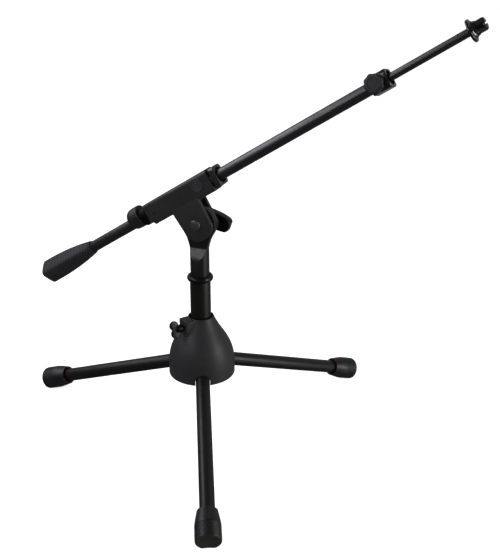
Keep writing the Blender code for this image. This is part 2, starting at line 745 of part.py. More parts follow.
def build_bushes(line, materials):
    """The plastic bushes that the boom slides in, one from each end of the head."""
    inner = OUTER_RADIUS + GAP
    outer = HEAD_BORE - GAP
    front_cap = block(
        "front_cap",
        (FRONT_CAP_START, -FRONT_CAP_HALF_DEPTH, -0.0138),
        (FRONT_CAP_END, FRONT_CAP_HALF_DEPTH, 0.0144),
        HEAD_EDGE,
        0,
        4,
    )
    front = tube("front_bush", outer, inner, 0.036, FRONT_MOUTH)
    place(front, line, rotation=LENGTHWISE)
    mouth = cylinder("front_mouth", 0.0108, FRONT_MOUTH, 0.080, ROUND)
    through = cylinder("front_through", inner + 0.0001, 0.050, 0.080, ROUND)
    cut(
        place(front_cap, line),
        place(mouth, line, rotation=LENGTHWISE),
        place(through, line, rotation=LENGTHWISE),
    )
    join(front, front_cap)
    as_part(front, materials["plastic"])

    rear_cap = turned(
        "rear_cap",
        solid_profile((0.0146, REAR_CAP_FRONT), (0.0152, REAR_CAP_FRONT - 0.0008), (0.0152, -0.0826),
                      (0.0145, -0.0860), (0.0125, -0.0884), (0.0096, REAR_CAP_BACK)),
        28,
    )
    rear = tube("rear_bush", outer, inner, -0.085, -0.036)
    place(rear, line, rotation=LENGTHWISE)
    band = tube("rear_band", REAR_BAND_RADIUS, inner, REAR_CAP_FRONT - 0.001, -HEAD_HALF_LENGTH - GAP)
    bore = cylinder("rear_through", inner + 0.0001, -0.10, -0.03, ROUND)
    cut(
        place(rear_cap, line, (0.0, 0.0, REAR_CAP_LIFT), LENGTHWISE),
        place(bore, line, rotation=LENGTHWISE),
    )
    join(rear, place(band, line, rotation=LENGTHWISE), rear_cap)
    as_part(rear, materials["plastic"])


def build_pivot(head, materials):
    """The clamping bolt through the tongue, its washers and its wing knob."""
    face = HEAD_HALF_DEPTH + GAP
    bolt_head = [
        (BOLT_HEAD_RADIUS, -face),
        (BOLT_HEAD_RADIUS, -face - 0.0012),
        (0.0068, -face - 0.0024),
        (0.0048, -face - 0.0033),
        (0.0024, -face - BOLT_HEAD_HEIGHT),
    ]
    bolt = turned(
        "pivot_bolt",
        solid_profile((BOLT_RADIUS, 0.0300), (BOLT_RADIUS, -face), *bolt_head),
        24,
    )
    as_part(place(bolt, head, rotation=ACROSS), materials["steel"])
    inner = BOLT_RADIUS + GAP
    for name, side in (("near", -1), ("far", 1)):
        low, high = sorted((side * (TONGUE_DISC_HALF + GAP), side * (SLOT_HALF - GAP)))
        washer = tube(f"friction_washer_{name}", WASHER_RADIUS, inner, low, high, 24)
        as_part(place(washer, head, rotation=ACROSS), materials["plastic"])
    flat_washer = tube("knob_washer", 0.0095, inner, face, KNOB_START - GAP, 24)
    as_part(place(flat_washer, head, rotation=ACROSS), materials["steel"])

    knob = turned(
        "pivot_wing_knob",
        [(0.0, KNOB_END - 0.0010), (0.0085, KNOB_END - 0.0010), (0.0100, KNOB_WING_START + 0.004),
         (KNOB_HUB_RADIUS, KNOB_WING_START - 0.002), (KNOB_HUB_RADIUS, KNOB_START),
         (inner, KNOB_START), (inner, 0.0305), (0.0, 0.0305)],
        ROUND,
    )
    place(knob, head, rotation=ACROSS)
    wings = plate("knob_wings", knob_outline(), KNOB_END - KNOB_WING_START)
    soften(wings, 0.0024, 1)
    middle = (KNOB_WING_START + KNOB_END) / 2
    turn = KNOB_TURN + BOOM_ANGLE
    place(wings, head, (0.0, middle, 0.0), (math.pi / 2, turn, 0.0))
    well = cylinder("knob_well", inner, 0.010, 0.0305)
    join(knob, wings)
    cut(knob, place(well, head, rotation=ACROSS))
    as_part(knob, materials["plastic"])


def knob_outline():
    """A two-winged knob seen along its bolt: wide flared tips and a round waist."""
    tip = KNOB_TIP_HALF_HEIGHT
    half = [
        *bezier((0.0, -0.0112), (0.012, -0.0122), (0.023, -0.0126), (KNOB_REACH - 0.003, -tip), 6),
        (KNOB_REACH, -tip + 0.004),
        (KNOB_REACH, tip - 0.004),
        *bezier((KNOB_REACH - 0.003, tip), (0.023, 0.0126), (0.012, 0.0122), (0.0, 0.0112), 6),
    ]
    return half + [(-x, -y) for x, y in half[1:-1]]


# Boom -----------------------------------------------------------------------------------------
def build_boom(line, materials):
    outer = tube("boom_outer_tube", OUTER_RADIUS, OUTER_RADIUS - OUTER_WALL, OUTER_START, OUTER_END)
    as_part(place(outer, line, rotation=LENGTHWISE), materials["tube"])
    build_counterweight(line, materials)
    build_clutch(line, materials)

    inner = tube("boom_inner_tube", INNER_RADIUS, INNER_RADIUS - INNER_WALL, INNER_START, INNER_END, 24)
    place(inner, line, rotation=LENGTHWISE)
    pin_turn = (-math.pi / 2 - PIN_TURN, 0.0, 0.0)
    pin_place = (PIN_X, 0.0, 0.0)
    pin_hole = cylinder("inner_pin_hole", STUD_PIN_HOLE, -0.0065, 0.0065, 12)
    cut(inner, place(pin_hole, line, pin_place, pin_turn))
    as_part(inner, materials["tube"])
    pin = cylinder("stud_pin", STUD_PIN_RADIUS, -STUD_PIN_HALF, STUD_PIN_HALF, 12)
    as_part(place(pin, line, pin_place, pin_turn), materials["steel"])
    sleeve = tube(
        "inner_guide_sleeve",
        OUTER_RADIUS - OUTER_WALL - GAP,
        INNER_RADIUS + GAP,
        INNER_START + 0.001,
        INNER_START + 0.017,
        24,
    )
    as_part(place(sleeve, line, rotation=LENGTHWISE), materials["plastic"])
    build_tip(line, materials, pin_place, pin_turn)


def build_counterweight(line, materials):
    """A tapered block lofted from a round mouth to a rounded square end that stands on a corner."""
    sides = 32
    rings = 7
    bm = bmesh.new()
    loops = []
    for ring in range(rings + 1):
        u = ring / rings
        growth = 1.0 - (1.0 - u) ** 2.5
        loops.append(section(bm, u, growth, sides, 1.0))
    loops.append(section(bm, 1.0 + 0.0016 / (WEIGHT_NEAR - WEIGHT_FAR), 1.0, sides, 0.9))
    for first, second in zip(loops, loops[1:]):
        for i in range(sides):
            j = (i + 1) % sides
            bm.faces.new((first[i], second[i], second[j], first[j]))
    bm.faces.new(loops[0])
    bm.faces.new(list(reversed(loops[-1])))
    bmesh.ops.recalc_face_normals(bm, faces=bm.faces)
    weight = mesh_object("counterweight", bm)
    place(weight, line)
    socket = cylinder("weight_socket", OUTER_RADIUS + GAP, OUTER_START - GAP, -0.16, ROUND)
    cut(weight, place(socket, line, rotation=LENGTHWISE))
    shade(weight)
    as_part(weight, materials["rubber"])


def section(bm, u, growth, sides, scale):
    """One cross-section: a circle at the mouth that squares up towards the far end."""
    power = 2.0 + 2.6 * growth
    corner = WEIGHT_NEAR_RADIUS + (WEIGHT_FAR_RADIUS - WEIGHT_NEAR_RADIUS) * growth
    x = WEIGHT_NEAR + (WEIGHT_FAR - WEIGHT_NEAR) * u
    diagonal = superellipse(math.radians(45.0), power)
    ring = []
    for i in range(sides):
        angle = math.tau * i / sides
        radius = scale * corner * superellipse(angle, power) / diagonal
        turn = angle + math.radians(45.0) + WEIGHT_ROLL
        ring.append(bm.verts.new((x, radius * math.cos(turn), radius * math.sin(turn))))
    return ring


def superellipse(angle, power):
    return (abs(math.cos(angle)) ** power + abs(math.sin(angle)) ** power) ** (-1.0 / power)


def build_clutch(line, materials):
    """The casting that clamps the inner tube, with its lobed hand knob and pressure pad."""
    turned_line = new_empty("clutch_axis", (0.0, 0.0, 0.0), (CLUTCH_ROLL, 0.0, 0.0), line)
    half = CLUTCH_HALF
    body = block(
        "clutch_body",
        (CLUTCH_START, -half, -half),
        (CLUTCH_END, half, half),
        CLUTCH_EDGE,
        0,
        4,
    )
    place(body, turned_line)
    socket = cylinder("clutch_socket", OUTER_RADIUS + GAP, 0.28, OUTER_END + GAP, ROUND)
    bore = cylinder("clutch_bore", INNER_RADIUS + GAP, 0.28, 0.34, ROUND)
    mouth = cylinder("clutch_mouth", CLUTCH_MOUTH_RADIUS, CLUTCH_END - 0.0060, 0.34, ROUND)
    stud_hole = cylinder("clutch_stud_hole", 0.0029, -0.016, -0.004, 16)
    knob_place = (CLUTCH_KNOB_X, 0.0, 0.0)
    cut(
        body,
        place(socket, turned_line, rotation=LENGTHWISE),
        place(bore, turned_line, rotation=LENGTHWISE),
        place(mouth, turned_line, rotation=LENGTHWISE),
        place(stud_hole, turned_line, knob_place, ACROSS),
    )
    as_part(body, materials["gloss"])
    pad = cylinder("clutch_pad", 0.0026, -0.0078, -INNER_RADIUS - GAP, 16)
    as_part(place(pad, turned_line, knob_place, ACROSS), materials["brass"])

    knob = turned(
        "clutch_knob",
        solid_profile((0.0025, -0.0081), (0.0025, -0.0121), (0.0060, -0.0121), (0.0060, -0.0150)),
        SMALL_ROUND,
    )
    place(knob, turned_line, knob_place, ACROSS)
    grip = plate("clutch_grip", lobed_outline(CLUTCH_KNOB_RADIUS, 0.0006, 8, 48), 0.0080)
    soften(grip, 0.0012, 1)
    join(knob, place(grip, turned_line, (CLUTCH_KNOB_X, -0.0182, 0.0), UPRIGHT))
    as_part(knob, materials["plastic"])


def lobed_outline(radius, depth, lobes, points):
    outline = []
    for i in range(points):
        angle = math.tau * i / points
        reach = radius + depth * math.cos(lobes * angle)
        outline.append((reach * math.cos(angle), reach * math.sin(angle)))
    return outline


def build_tip(line, materials, pin_place, pin_turn):
    """The threaded stud that takes the microphone clip, and its flared lock nut."""
    spigot = INNER_RADIUS - INNER_WALL - GAP
    stud = turned(
        "mic_thread_stud",
        solid_profile((0.0066, STUD_END), (STUD_RADIUS, STUD_END - 0.0016),
                      (STUD_RADIUS, INNER_END + GAP), (spigot, INNER_END + GAP),
                      (spigot, INNER_END - 0.0180)),
        24,
    )
    place(stud, line, rotation=LENGTHWISE)
    slot = block(
        "stud_slot",
        (STUD_END - STUD_SLOT_DEPTH, -0.02, -STUD_SLOT_HALF),
        (STUD_END + 0.001, 0.02, STUD_SLOT_HALF),
    )
    pin_hole = cylinder("stud_pin_hole", STUD_PIN_HOLE, -0.0065, 0.0065, 12)
    cut(stud, place(slot, line), place(pin_hole, line, pin_place, pin_turn))
    as_part(stud, materials["gloss"])

    bore = STUD_RADIUS + GAP
    flare = bezier((0.0087, NUT_END), (0.0090, 0.4416), (0.0104, 0.4398), (0.0133, 0.4390), 4)
    nut = turned(
        "lock_nut",
        [*flare, (NUT_RADIUS, 0.4384), (NUT_RADIUS, NUT_START + 0.0012), (NUT_RADIUS - 0.0010, NUT_START),
         (bore, NUT_START), (bore, NUT_END)],
        24,
        ring=True,
    )
    as_part(place(nut, line, rotation=LENGTHWISE), materials["gloss"])


def build_materials():
    return {
        "cast": new_material("black_cast_metal", (0.030, 0.030, 0.031), 0.52, 0.25),
        "tube": new_material("black_painted_tube", (0.022, 0.022, 0.024), 0.42, 0.30),
        "plastic": new_material("black_plastic", (0.020, 0.020, 0.020), 0.55, 0.0),
        "gloss": new_material("gloss_black", (0.012, 0.012, 0.012), 0.20, 0.2),
        "rubber": new_material("black_rubber", (0.026, 0.026, 0.028), 0.75, 0.0),
        "red": new_material("red_trim", (0.250, 0.012, 0.015), 0.45, 0.0),
        "steel": new_material("black_steel", (0.035, 0.035, 0.036), 0.40, 0.8),
        "brass": new_material("brass", (0.600, 0.430, 0.160), 0.35, 1.0),
    }


def build():
    materials = build_materials()
    stand = new_empty("stand_axis", (COLUMN_X, COLUMN_Y, 0.0))
    build_hub(stand, materials)
    build_guide(stand, materials)
    build_carrier(stand, materials)
    build_clamp(stand, materials)
    for name, azimuth in zip(LEG_NAMES, leg_azimuths()):
        build_leg(name, azimuth, stand, materials)
    build_column(stand, materials)
    build_shank(stand, materials)
    head = new_empty("boom_pivot", (0.0, 0.0, PIVOT_HEIGHT), (0.0, -BOOM_ANGLE, 0.0), stand)
    line = new_empty("boom_axis", (BOOM_SHIFT, 0.0, BOOM_OFFSET), parent=head)
    build_head(head, line, materials)
    build_bushes(line, materials)
    build_pivot(head, materials)
    build_boom(line, materials)


clear_scene()
PARTS = new_collection("boom_microphone_stand")
CUTTERS = new_collection("cutters")
build()
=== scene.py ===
"""Low boom microphone stand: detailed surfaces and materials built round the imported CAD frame.

Every piece is placed by the frame's own joints and rides on the CAD body it belongs to. Metres, +Z up.
"""

import json
import math

import bmesh
import bpy
from mathutils import Matrix, Vector


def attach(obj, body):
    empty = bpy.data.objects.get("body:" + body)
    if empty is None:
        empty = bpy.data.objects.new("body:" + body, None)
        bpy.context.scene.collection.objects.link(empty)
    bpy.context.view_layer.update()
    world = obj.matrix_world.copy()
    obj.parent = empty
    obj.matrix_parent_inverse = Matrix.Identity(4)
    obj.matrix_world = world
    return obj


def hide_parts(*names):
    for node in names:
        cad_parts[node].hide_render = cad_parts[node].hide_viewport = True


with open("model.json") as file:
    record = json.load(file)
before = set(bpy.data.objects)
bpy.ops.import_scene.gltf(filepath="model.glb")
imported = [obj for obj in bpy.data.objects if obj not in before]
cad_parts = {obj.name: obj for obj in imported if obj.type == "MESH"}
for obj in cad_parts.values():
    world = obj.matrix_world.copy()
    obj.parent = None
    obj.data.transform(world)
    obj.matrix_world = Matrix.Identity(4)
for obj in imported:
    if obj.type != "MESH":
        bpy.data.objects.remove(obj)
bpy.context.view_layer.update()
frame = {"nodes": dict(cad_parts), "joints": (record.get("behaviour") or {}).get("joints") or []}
JOINTS = {joint["name"]: joint for joint in frame["joints"]}
SIDES = ("left", "front", "right")
CLEAR = 0.0003                                       # play between neighbouring pieces
CUT_EXTRA = 0.0001                                   # how far a cutter passes a surface that it only cleans
TAU = math.tau
QUARTER = math.pi / 2

# Camera ---------------------------------------------------------------
COLUMN = Vector(JOINTS["shank_swivel"]["pos_m"])
CAMERA_OFFSET = Vector((0.4998, -1.0840, 0.7480))   # from the column's foot
CAMERA_RIGHT = Vector((0.9307, 0.3658, 0.0016))
CAMERA_UP = Vector((-0.1449, 0.3645, 0.9199))
CAMERA_BACK = Vector((0.3359, -0.8563, 0.3922))
CAMERA_LENS = 60.06


def make_camera():
    data = bpy.data.cameras.new("camera")
    data.lens = CAMERA_LENS
    data.sensor_width = 36.0
    camera = bpy.data.objects.new("camera", data)
    pose = Matrix((CAMERA_RIGHT, CAMERA_UP, CAMERA_BACK)).transposed().to_4x4()
    pose.translation = Vector((COLUMN.x, COLUMN.y, 0.0)) + CAMERA_OFFSET
    camera.matrix_world = pose
    bpy.context.scene.collection.objects.link(camera)
    bpy.context.scene.camera = camera


make_camera()

# Frames of reference, all from the joints -----------------------------
STAND = Matrix.Translation((COLUMN.x, COLUMN.y, 0.0))
PIVOT_POINT = Vector(JOINTS["boom_tilt"]["pos_m"])
BOOM_AXIS = Vector(JOINTS["boom_slide"]["axis"])
BOOM_ANGLE = math.atan2(BOOM_AXIS.z, BOOM_AXIS.x)
PIVOT = Matrix.Translation(PIVOT_POINT) @ Matrix.Rotation(-BOOM_ANGLE, 4, "Y")
BOOM_OFFSET = 0.042
BOOM_SHIFT = -0.0028
LINE = PIVOT @ Matrix.Translation((BOOM_SHIFT, 0.0, BOOM_OFFSET))
LEG_SLOPE = math.radians(20.5)
CLUTCH_ROLL = math.radians(-12.0)
CLUTCH_LINE = LINE @ Matrix.Rotation(CLUTCH_ROLL, 4, "X")
ALONG_X = Matrix.Rotation(QUARTER, 4, "Y")           # turns local Z to +X
ACROSS = Matrix.Rotation(-QUARTER, 4, "X")           # turns local Z to +Y
UPRIGHT = Matrix.Rotation(QUARTER, 4, "X")           # stands an XY outline up in the XZ plane
SCREW_AXIS = Vector(JOINTS["hub_screw_turn"]["axis"])
SCREW_AZIMUTH = math.atan2(SCREW_AXIS.y, SCREW_AXIS.x)
SCREW_HEIGHT = JOINTS["hub_screw_turn"]["pos_m"][2]
SCREW = STAND @ Matrix.Translation((0.0, 0.0, SCREW_HEIGHT)) @ Matrix.Rotation(SCREW_AZIMUTH, 4, "Z")


def leg_azimuth(name):
    axis = JOINTS["leg_fold_" + name]["axis"]
    return math.atan2(-axis[0], axis[1])


def leg_frame(name):
    pin = Vector(JOINTS["leg_fold_" + name]["pos_m"])
    turn = Matrix.Rotation(leg_azimuth(name), 4, "Z") @ Matrix.Rotation(LEG_SLOPE, 4, "Y")
    return Matrix.Translation(pin) @ turn


# Mesh helpers ---------------------------------------------------------
def as_object(name, bm):
    mesh = bpy.data.meshes.new(name)
    bm.to_mesh(mesh)
    bm.free()
    obj = bpy.data.objects.new(name, mesh)
    bpy.context.scene.collection.objects.link(obj)
    return obj


def soft_corners(points, closed=False, steps=5):
    """Rounds the corners of a polyline of (a, b, radius) points."""
    result = []
    count = len(points)
    for i, (a, b, radius) in enumerate(points):
        corner = Vector((a, b))
        if radius <= 0.0 or (not closed and i in (0, count - 1)):
            result.append(corner)
            continue
        before = Vector(points[i - 1][:2]) - corner
        after = Vector(points[(i + 1) % count][:2]) - corner
        start = corner + before.normalized() * min(radius, before.length * 0.48)
        end = corner + after.normalized() * min(radius, after.length * 0.48)
        for k in range(steps + 1):
            t = k / steps
            result.append(start * (1 - t) ** 2 + corner * 2 * t * (1 - t) + end * t * t)
    return [(point.x, point.y) for point in result]


def bezier(start, first, second, end, steps):
    points = []
    for i in range(steps + 1):
        t = i / steps
        weights = ((1 - t) ** 3, 3 * t * (1 - t) ** 2, 3 * t * t * (1 - t), t ** 3)
        corners = (start, first, second, end)
        points.append(tuple(sum(w * c[k] for w, c in zip(weights, corners)) for k in (0, 1)))
    return points


def arc(centre, radius, start, end, steps):
    angles = [math.radians(start + (end - start) * i / steps) for i in range(steps + 1)]
    return [(centre[0] + radius * math.cos(a), centre[1] + radius * math.sin(a)) for a in angles]


def lathe(name, profile, sides=96, ring=False):
    """Turns (radius, height) points about local Z. Points on the axis close the shape."""
    bm = bmesh.new()
    rows = []
    for radius, height in profile:
        if radius < 1e-7:
            rows.append([bm.verts.new((0.0, 0.0, height))])
        else:
            rows.append([
                bm.verts.new((radius * math.cos(TAU * i / sides), radius * math.sin(TAU * i / sides), height))
                for i in range(sides)
            ])
    pairs = list(zip(rows, rows[1:]))
    if ring:
        pairs.append((rows[-1], rows[0]))
    for first, second in pairs:
        for i in range(sides):
            j = (i + 1) % sides
            near = [first[i % len(first)], first[j % len(first)]]
            far = [second[j % len(second)], second[i % len(second)]]
            unique = list(dict.fromkeys(near + far))
            if len(unique) > 2:
                bm.faces.new(unique)
    bmesh.ops.recalc_face_normals(bm, faces=bm.faces)
    return as_object(name, bm)


def solid(points):
    """Adds the two end points on the axis to a profile."""
    return [(0.0, points[0][1]), *points, (0.0, points[-1][1])]


def rod(name, radius, high, low, sides):
    """A plain round bar, mostly used as the cutter of a hole."""
    return lathe(name, solid([(radius, high), (radius, low)]), sides)


def pipe(name, outer, inner, low, high, sides=96, edge=0.0004):
    corners = [(outer, high, edge), (outer, low, edge), (inner, low, edge), (inner, high, edge)]
    return lathe(name, soft_corners(corners, closed=True, steps=3), sides, ring=True)


def slab(name, outline, thickness, edge=0.0, segments=3):
    """A flat outline in local XY, thickened evenly along local Z, with its edges rounded."""
    bm = bmesh.new()
    lower = [bm.verts.new((x, y, -thickness / 2)) for x, y in outline]
    face = bm.faces.new(lower)
    grown = bmesh.ops.extrude_face_region(bm, geom=[face])
    raised = [item for item in grown["geom"] if isinstance(item, bmesh.types.BMVert)]
    bmesh.ops.translate(bm, verts=raised, vec=(0.0, 0.0, thickness))
    bmesh.ops.recalc_face_normals(bm, faces=bm.faces)
    if edge > 0.0:
        around = [e for e in bm.edges if abs(e.verts[0].co.z - e.verts[1].co.z) < 1e-7]
        bmesh.ops.bevel(bm, geom=around, offset=edge, segments=segments, profile=0.5, affect="EDGES")
    return as_object(name, bm)


def brick(name, low, high, edge, segments, end_edge):
    """A box with its four long X edges well rounded and its ends lightly rounded."""
    low, high = Vector(low), Vector(high)
    bm = bmesh.new()
    bmesh.ops.create_cube(bm, size=1.0)
    bmesh.ops.scale(bm, vec=high - low, verts=bm.verts)
    bmesh.ops.translate(bm, vec=(low + high) / 2, verts=bm.verts)
    if edge > 0.0:
        along = [e for e in bm.edges if abs(e.verts[0].co.x - e.verts[1].co.x) > 1e-6]
        bmesh.ops.bevel(bm, geom=along, offset=edge, segments=segments, profile=0.5, affect="EDGES")
    if end_edge > 0.0:
        ends = [e for e in bm.edges if abs(e.verts[0].co.x - e.verts[1].co.x) < 1e-7]
        bmesh.ops.bevel(bm, geom=ends, offset=end_edge, segments=3, profile=0.5, affect="EDGES")
    return as_object(name, bm)


def at(obj, matrix):
    obj.matrix_world = matrix
    return obj


def carve(obj, cuts=(), joins=()):
    """Unions and cuts an object, then keeps the result as its mesh."""
    bpy.context.view_layer.update()
    for other, operation in [*((o, "UNION") for o in joins), *((o, "DIFFERENCE") for o in cuts)]:
        modifier = obj.modifiers.new(operation.title(), "BOOLEAN")
        modifier.operation = operation
        modifier.solver = "EXACT"
        modifier.object = other
    bpy.context.view_layer.update()
    evaluated = obj.evaluated_get(bpy.context.evaluated_depsgraph_get())
    mesh = bpy.data.meshes.new_from_object(evaluated)
    obj.modifiers.clear()
    obj.data = mesh
    for other in [*joins, *cuts]:
        bpy.data.objects.remove(other, do_unlink=True)
    return obj


def bake_place(obj):
    """Moves a piece's place into its mesh, and keeps its own coordinates for its material as "local"."""
    local = obj.data.attributes.new("local", "FLOAT_VECTOR", "POINT")
    for vertex, item in zip(obj.data.vertices, local.data):
        item.vector = vertex.co
    obj.data.transform(obj.matrix_world)
    obj.matrix_world = Matrix.Identity(4)


def piece(obj, material, body, *nodes, slot=None, sharp=32.0):
    """Shades a finished piece, gives it its material and lets it ride on its CAD body."""
    bake_place(obj)
    obj.data.shade_smooth()
    obj.data.set_sharp_from_angle(angle=math.radians(sharp))
    obj.data.materials.clear()
    obj.data.materials.append(material)
    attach(obj, body)
    if nodes:
        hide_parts(*nodes)
    return obj


# Materials ------------------------------------------------------------
EDGE_SAMPLES = 6
COAT_ROUGHNESS = 0.1
DUST_COLOUR = (0.16, 0.155, 0.15)


class Shader:
    """A material's node tree, built with short calls."""

    def __init__(self, name, slot, local=False):
        self.material = bpy.data.materials.new(name)
        self.material.use_nodes = True
        self.material["slot"] = slot
        self.tree = self.material.node_tree
        self.shader = self.tree.nodes["Principled BSDF"]
        if local:
            attribute = self.node("ShaderNodeAttribute", attribute_name="local")
            self.coordinates = attribute.outputs["Vector"]
        else:
            self.coordinates = self.node("ShaderNodeTexCoord").outputs["Object"]

    def node(self, kind, inputs=None, **settings):
        node = self.tree.nodes.new(kind)
        for key, value in settings.items():
            setattr(node, key, value)
        for key, value in (inputs or {}).items():
            self.feed(node.inputs[key], value)
        return node

    def feed(self, socket, value):
        if isinstance(value, bpy.types.NodeSocket):
            self.tree.links.new(value, socket)
        else:
            socket.default_value = value

    def mapped(self, scale):
        return self.node("ShaderNodeMapping", {"Vector": self.coordinates, "Scale": scale}).outputs["Vector"]

    def noise(self, scale, detail, stretch=(1.0, 1.0, 1.0)):
        inputs = {"Vector": self.mapped(stretch), "Scale": scale, "Detail": detail}
        return self.node("ShaderNodeTexNoise", inputs).outputs["Fac"]

    def ramp(self, value, low, high, start=0.0, end=1.0):
        inputs = {"Value": value, "From Min": low, "From Max": high, "To Min": start, "To Max": end}
        return self.node("ShaderNodeMapRange", inputs).outputs["Result"]

    def math(self, operation, first, second=0.0):
        return self.node("ShaderNodeMath", {0: first, 1: second}, operation=operation).outputs[0]

    def blend(self, factor, first, second):
        node = self.node("ShaderNodeMix", data_type="RGBA")
        self.feed(node.inputs[0], factor)
        for socket, colour in ((node.inputs[6], first), (node.inputs[7], second)):
            self.feed(socket, colour if isinstance(colour, bpy.types.NodeSocket) else (*colour, 1.0))
        return node.outputs[2]

    def bump(self, height, distance, normal):
        inputs = {"Height": height, "Distance": distance, "Normal": normal}
        return self.node("ShaderNodeBump", inputs).outputs["Normal"]

    def edge(self, radius):
        """Rounded edge normal, and how far it differs from the surface: 1 on sharp edges, 0 on flats."""
        rounded = self.node("ShaderNodeBevel", {"Radius": radius}, samples=EDGE_SAMPLES).outputs["Normal"]
        surface = self.node("ShaderNodeNewGeometry").outputs["Normal"]
        product = self.node("ShaderNodeVectorMath", {0: rounded, 1: surface}, operation="DOT_PRODUCT")
        return rounded, self.ramp(product.outputs["Value"], 0.995, 0.80)

    def upward(self):
        normal = self.node("ShaderNodeNewGeometry").outputs["Normal"]
        return self.node("ShaderNodeSeparateXYZ", {0: normal}).outputs["Z"]

    def finish(self, colour, roughness, normal, specular, coat=0.0):
        self.feed(self.shader.inputs["Base Color"], colour)
        self.feed(self.shader.inputs["Roughness"], roughness)
        self.feed(self.shader.inputs["Normal"], normal)
        self.shader.inputs["Specular IOR Level"].default_value = specular
        self.shader.inputs["Coat Weight"].default_value = coat
        self.shader.inputs["Coat Roughness"].default_value = COAT_ROUGHNESS
        return self.material


def scaled(colour, factor):
    return tuple(channel * factor for channel in colour)


def coated(name, slot, colour, roughness, grain, depth, edge_radius=0.0004, wear=0.35, specular=0.4, coat=0.0,
           stretch=(1.0, 1.0, 1.0), dust=0.25, local=False):
    """A hard surface: fine orange peel, cloudy tone, rubbed edges and a trace of dust on top faces."""
    s = Shader(name, slot, local)
    rounded, edges = s.edge(edge_radius)
    cloud = s.noise(28.0, 4.0)
    fine = s.noise(grain, 2.0, stretch)
    rub = s.math("MULTIPLY", edges, s.ramp(s.noise(160.0, 3.0), 0.42, 0.68, 0.15, 1.0))
    tone = s.blend(s.ramp(cloud, 0.3, 0.7), scaled(colour, 0.86), scaled(colour, 1.14))
    worn = s.blend(s.math("MULTIPLY", rub, wear), tone, scaled(colour, 3.2))
    specks = s.ramp(s.noise(900.0, 2.0), 0.62, 0.80)
    settled = s.math("MULTIPLY", s.ramp(s.upward(), 0.35, 1.0), s.ramp(s.noise(45.0, 5.0), 0.45, 0.75))
    speckled = s.math("MULTIPLY", settled, specks)
    dusty = s.math("MULTIPLY", s.math("ADD", s.math("MULTIPLY", settled, 0.5), speckled), dust)
    final = s.blend(s.math("MULTIPLY", dusty, 0.22), worn, DUST_COLOUR)
    rough = s.ramp(s.noise(70.0, 4.0), 0.3, 0.7, roughness - 0.05, roughness + 0.06)
    rough = s.math("ADD", rough, s.math("MULTIPLY", dusty, 0.15))
    return s.finish(final, rough, s.bump(fine, depth, rounded), specular, coat)


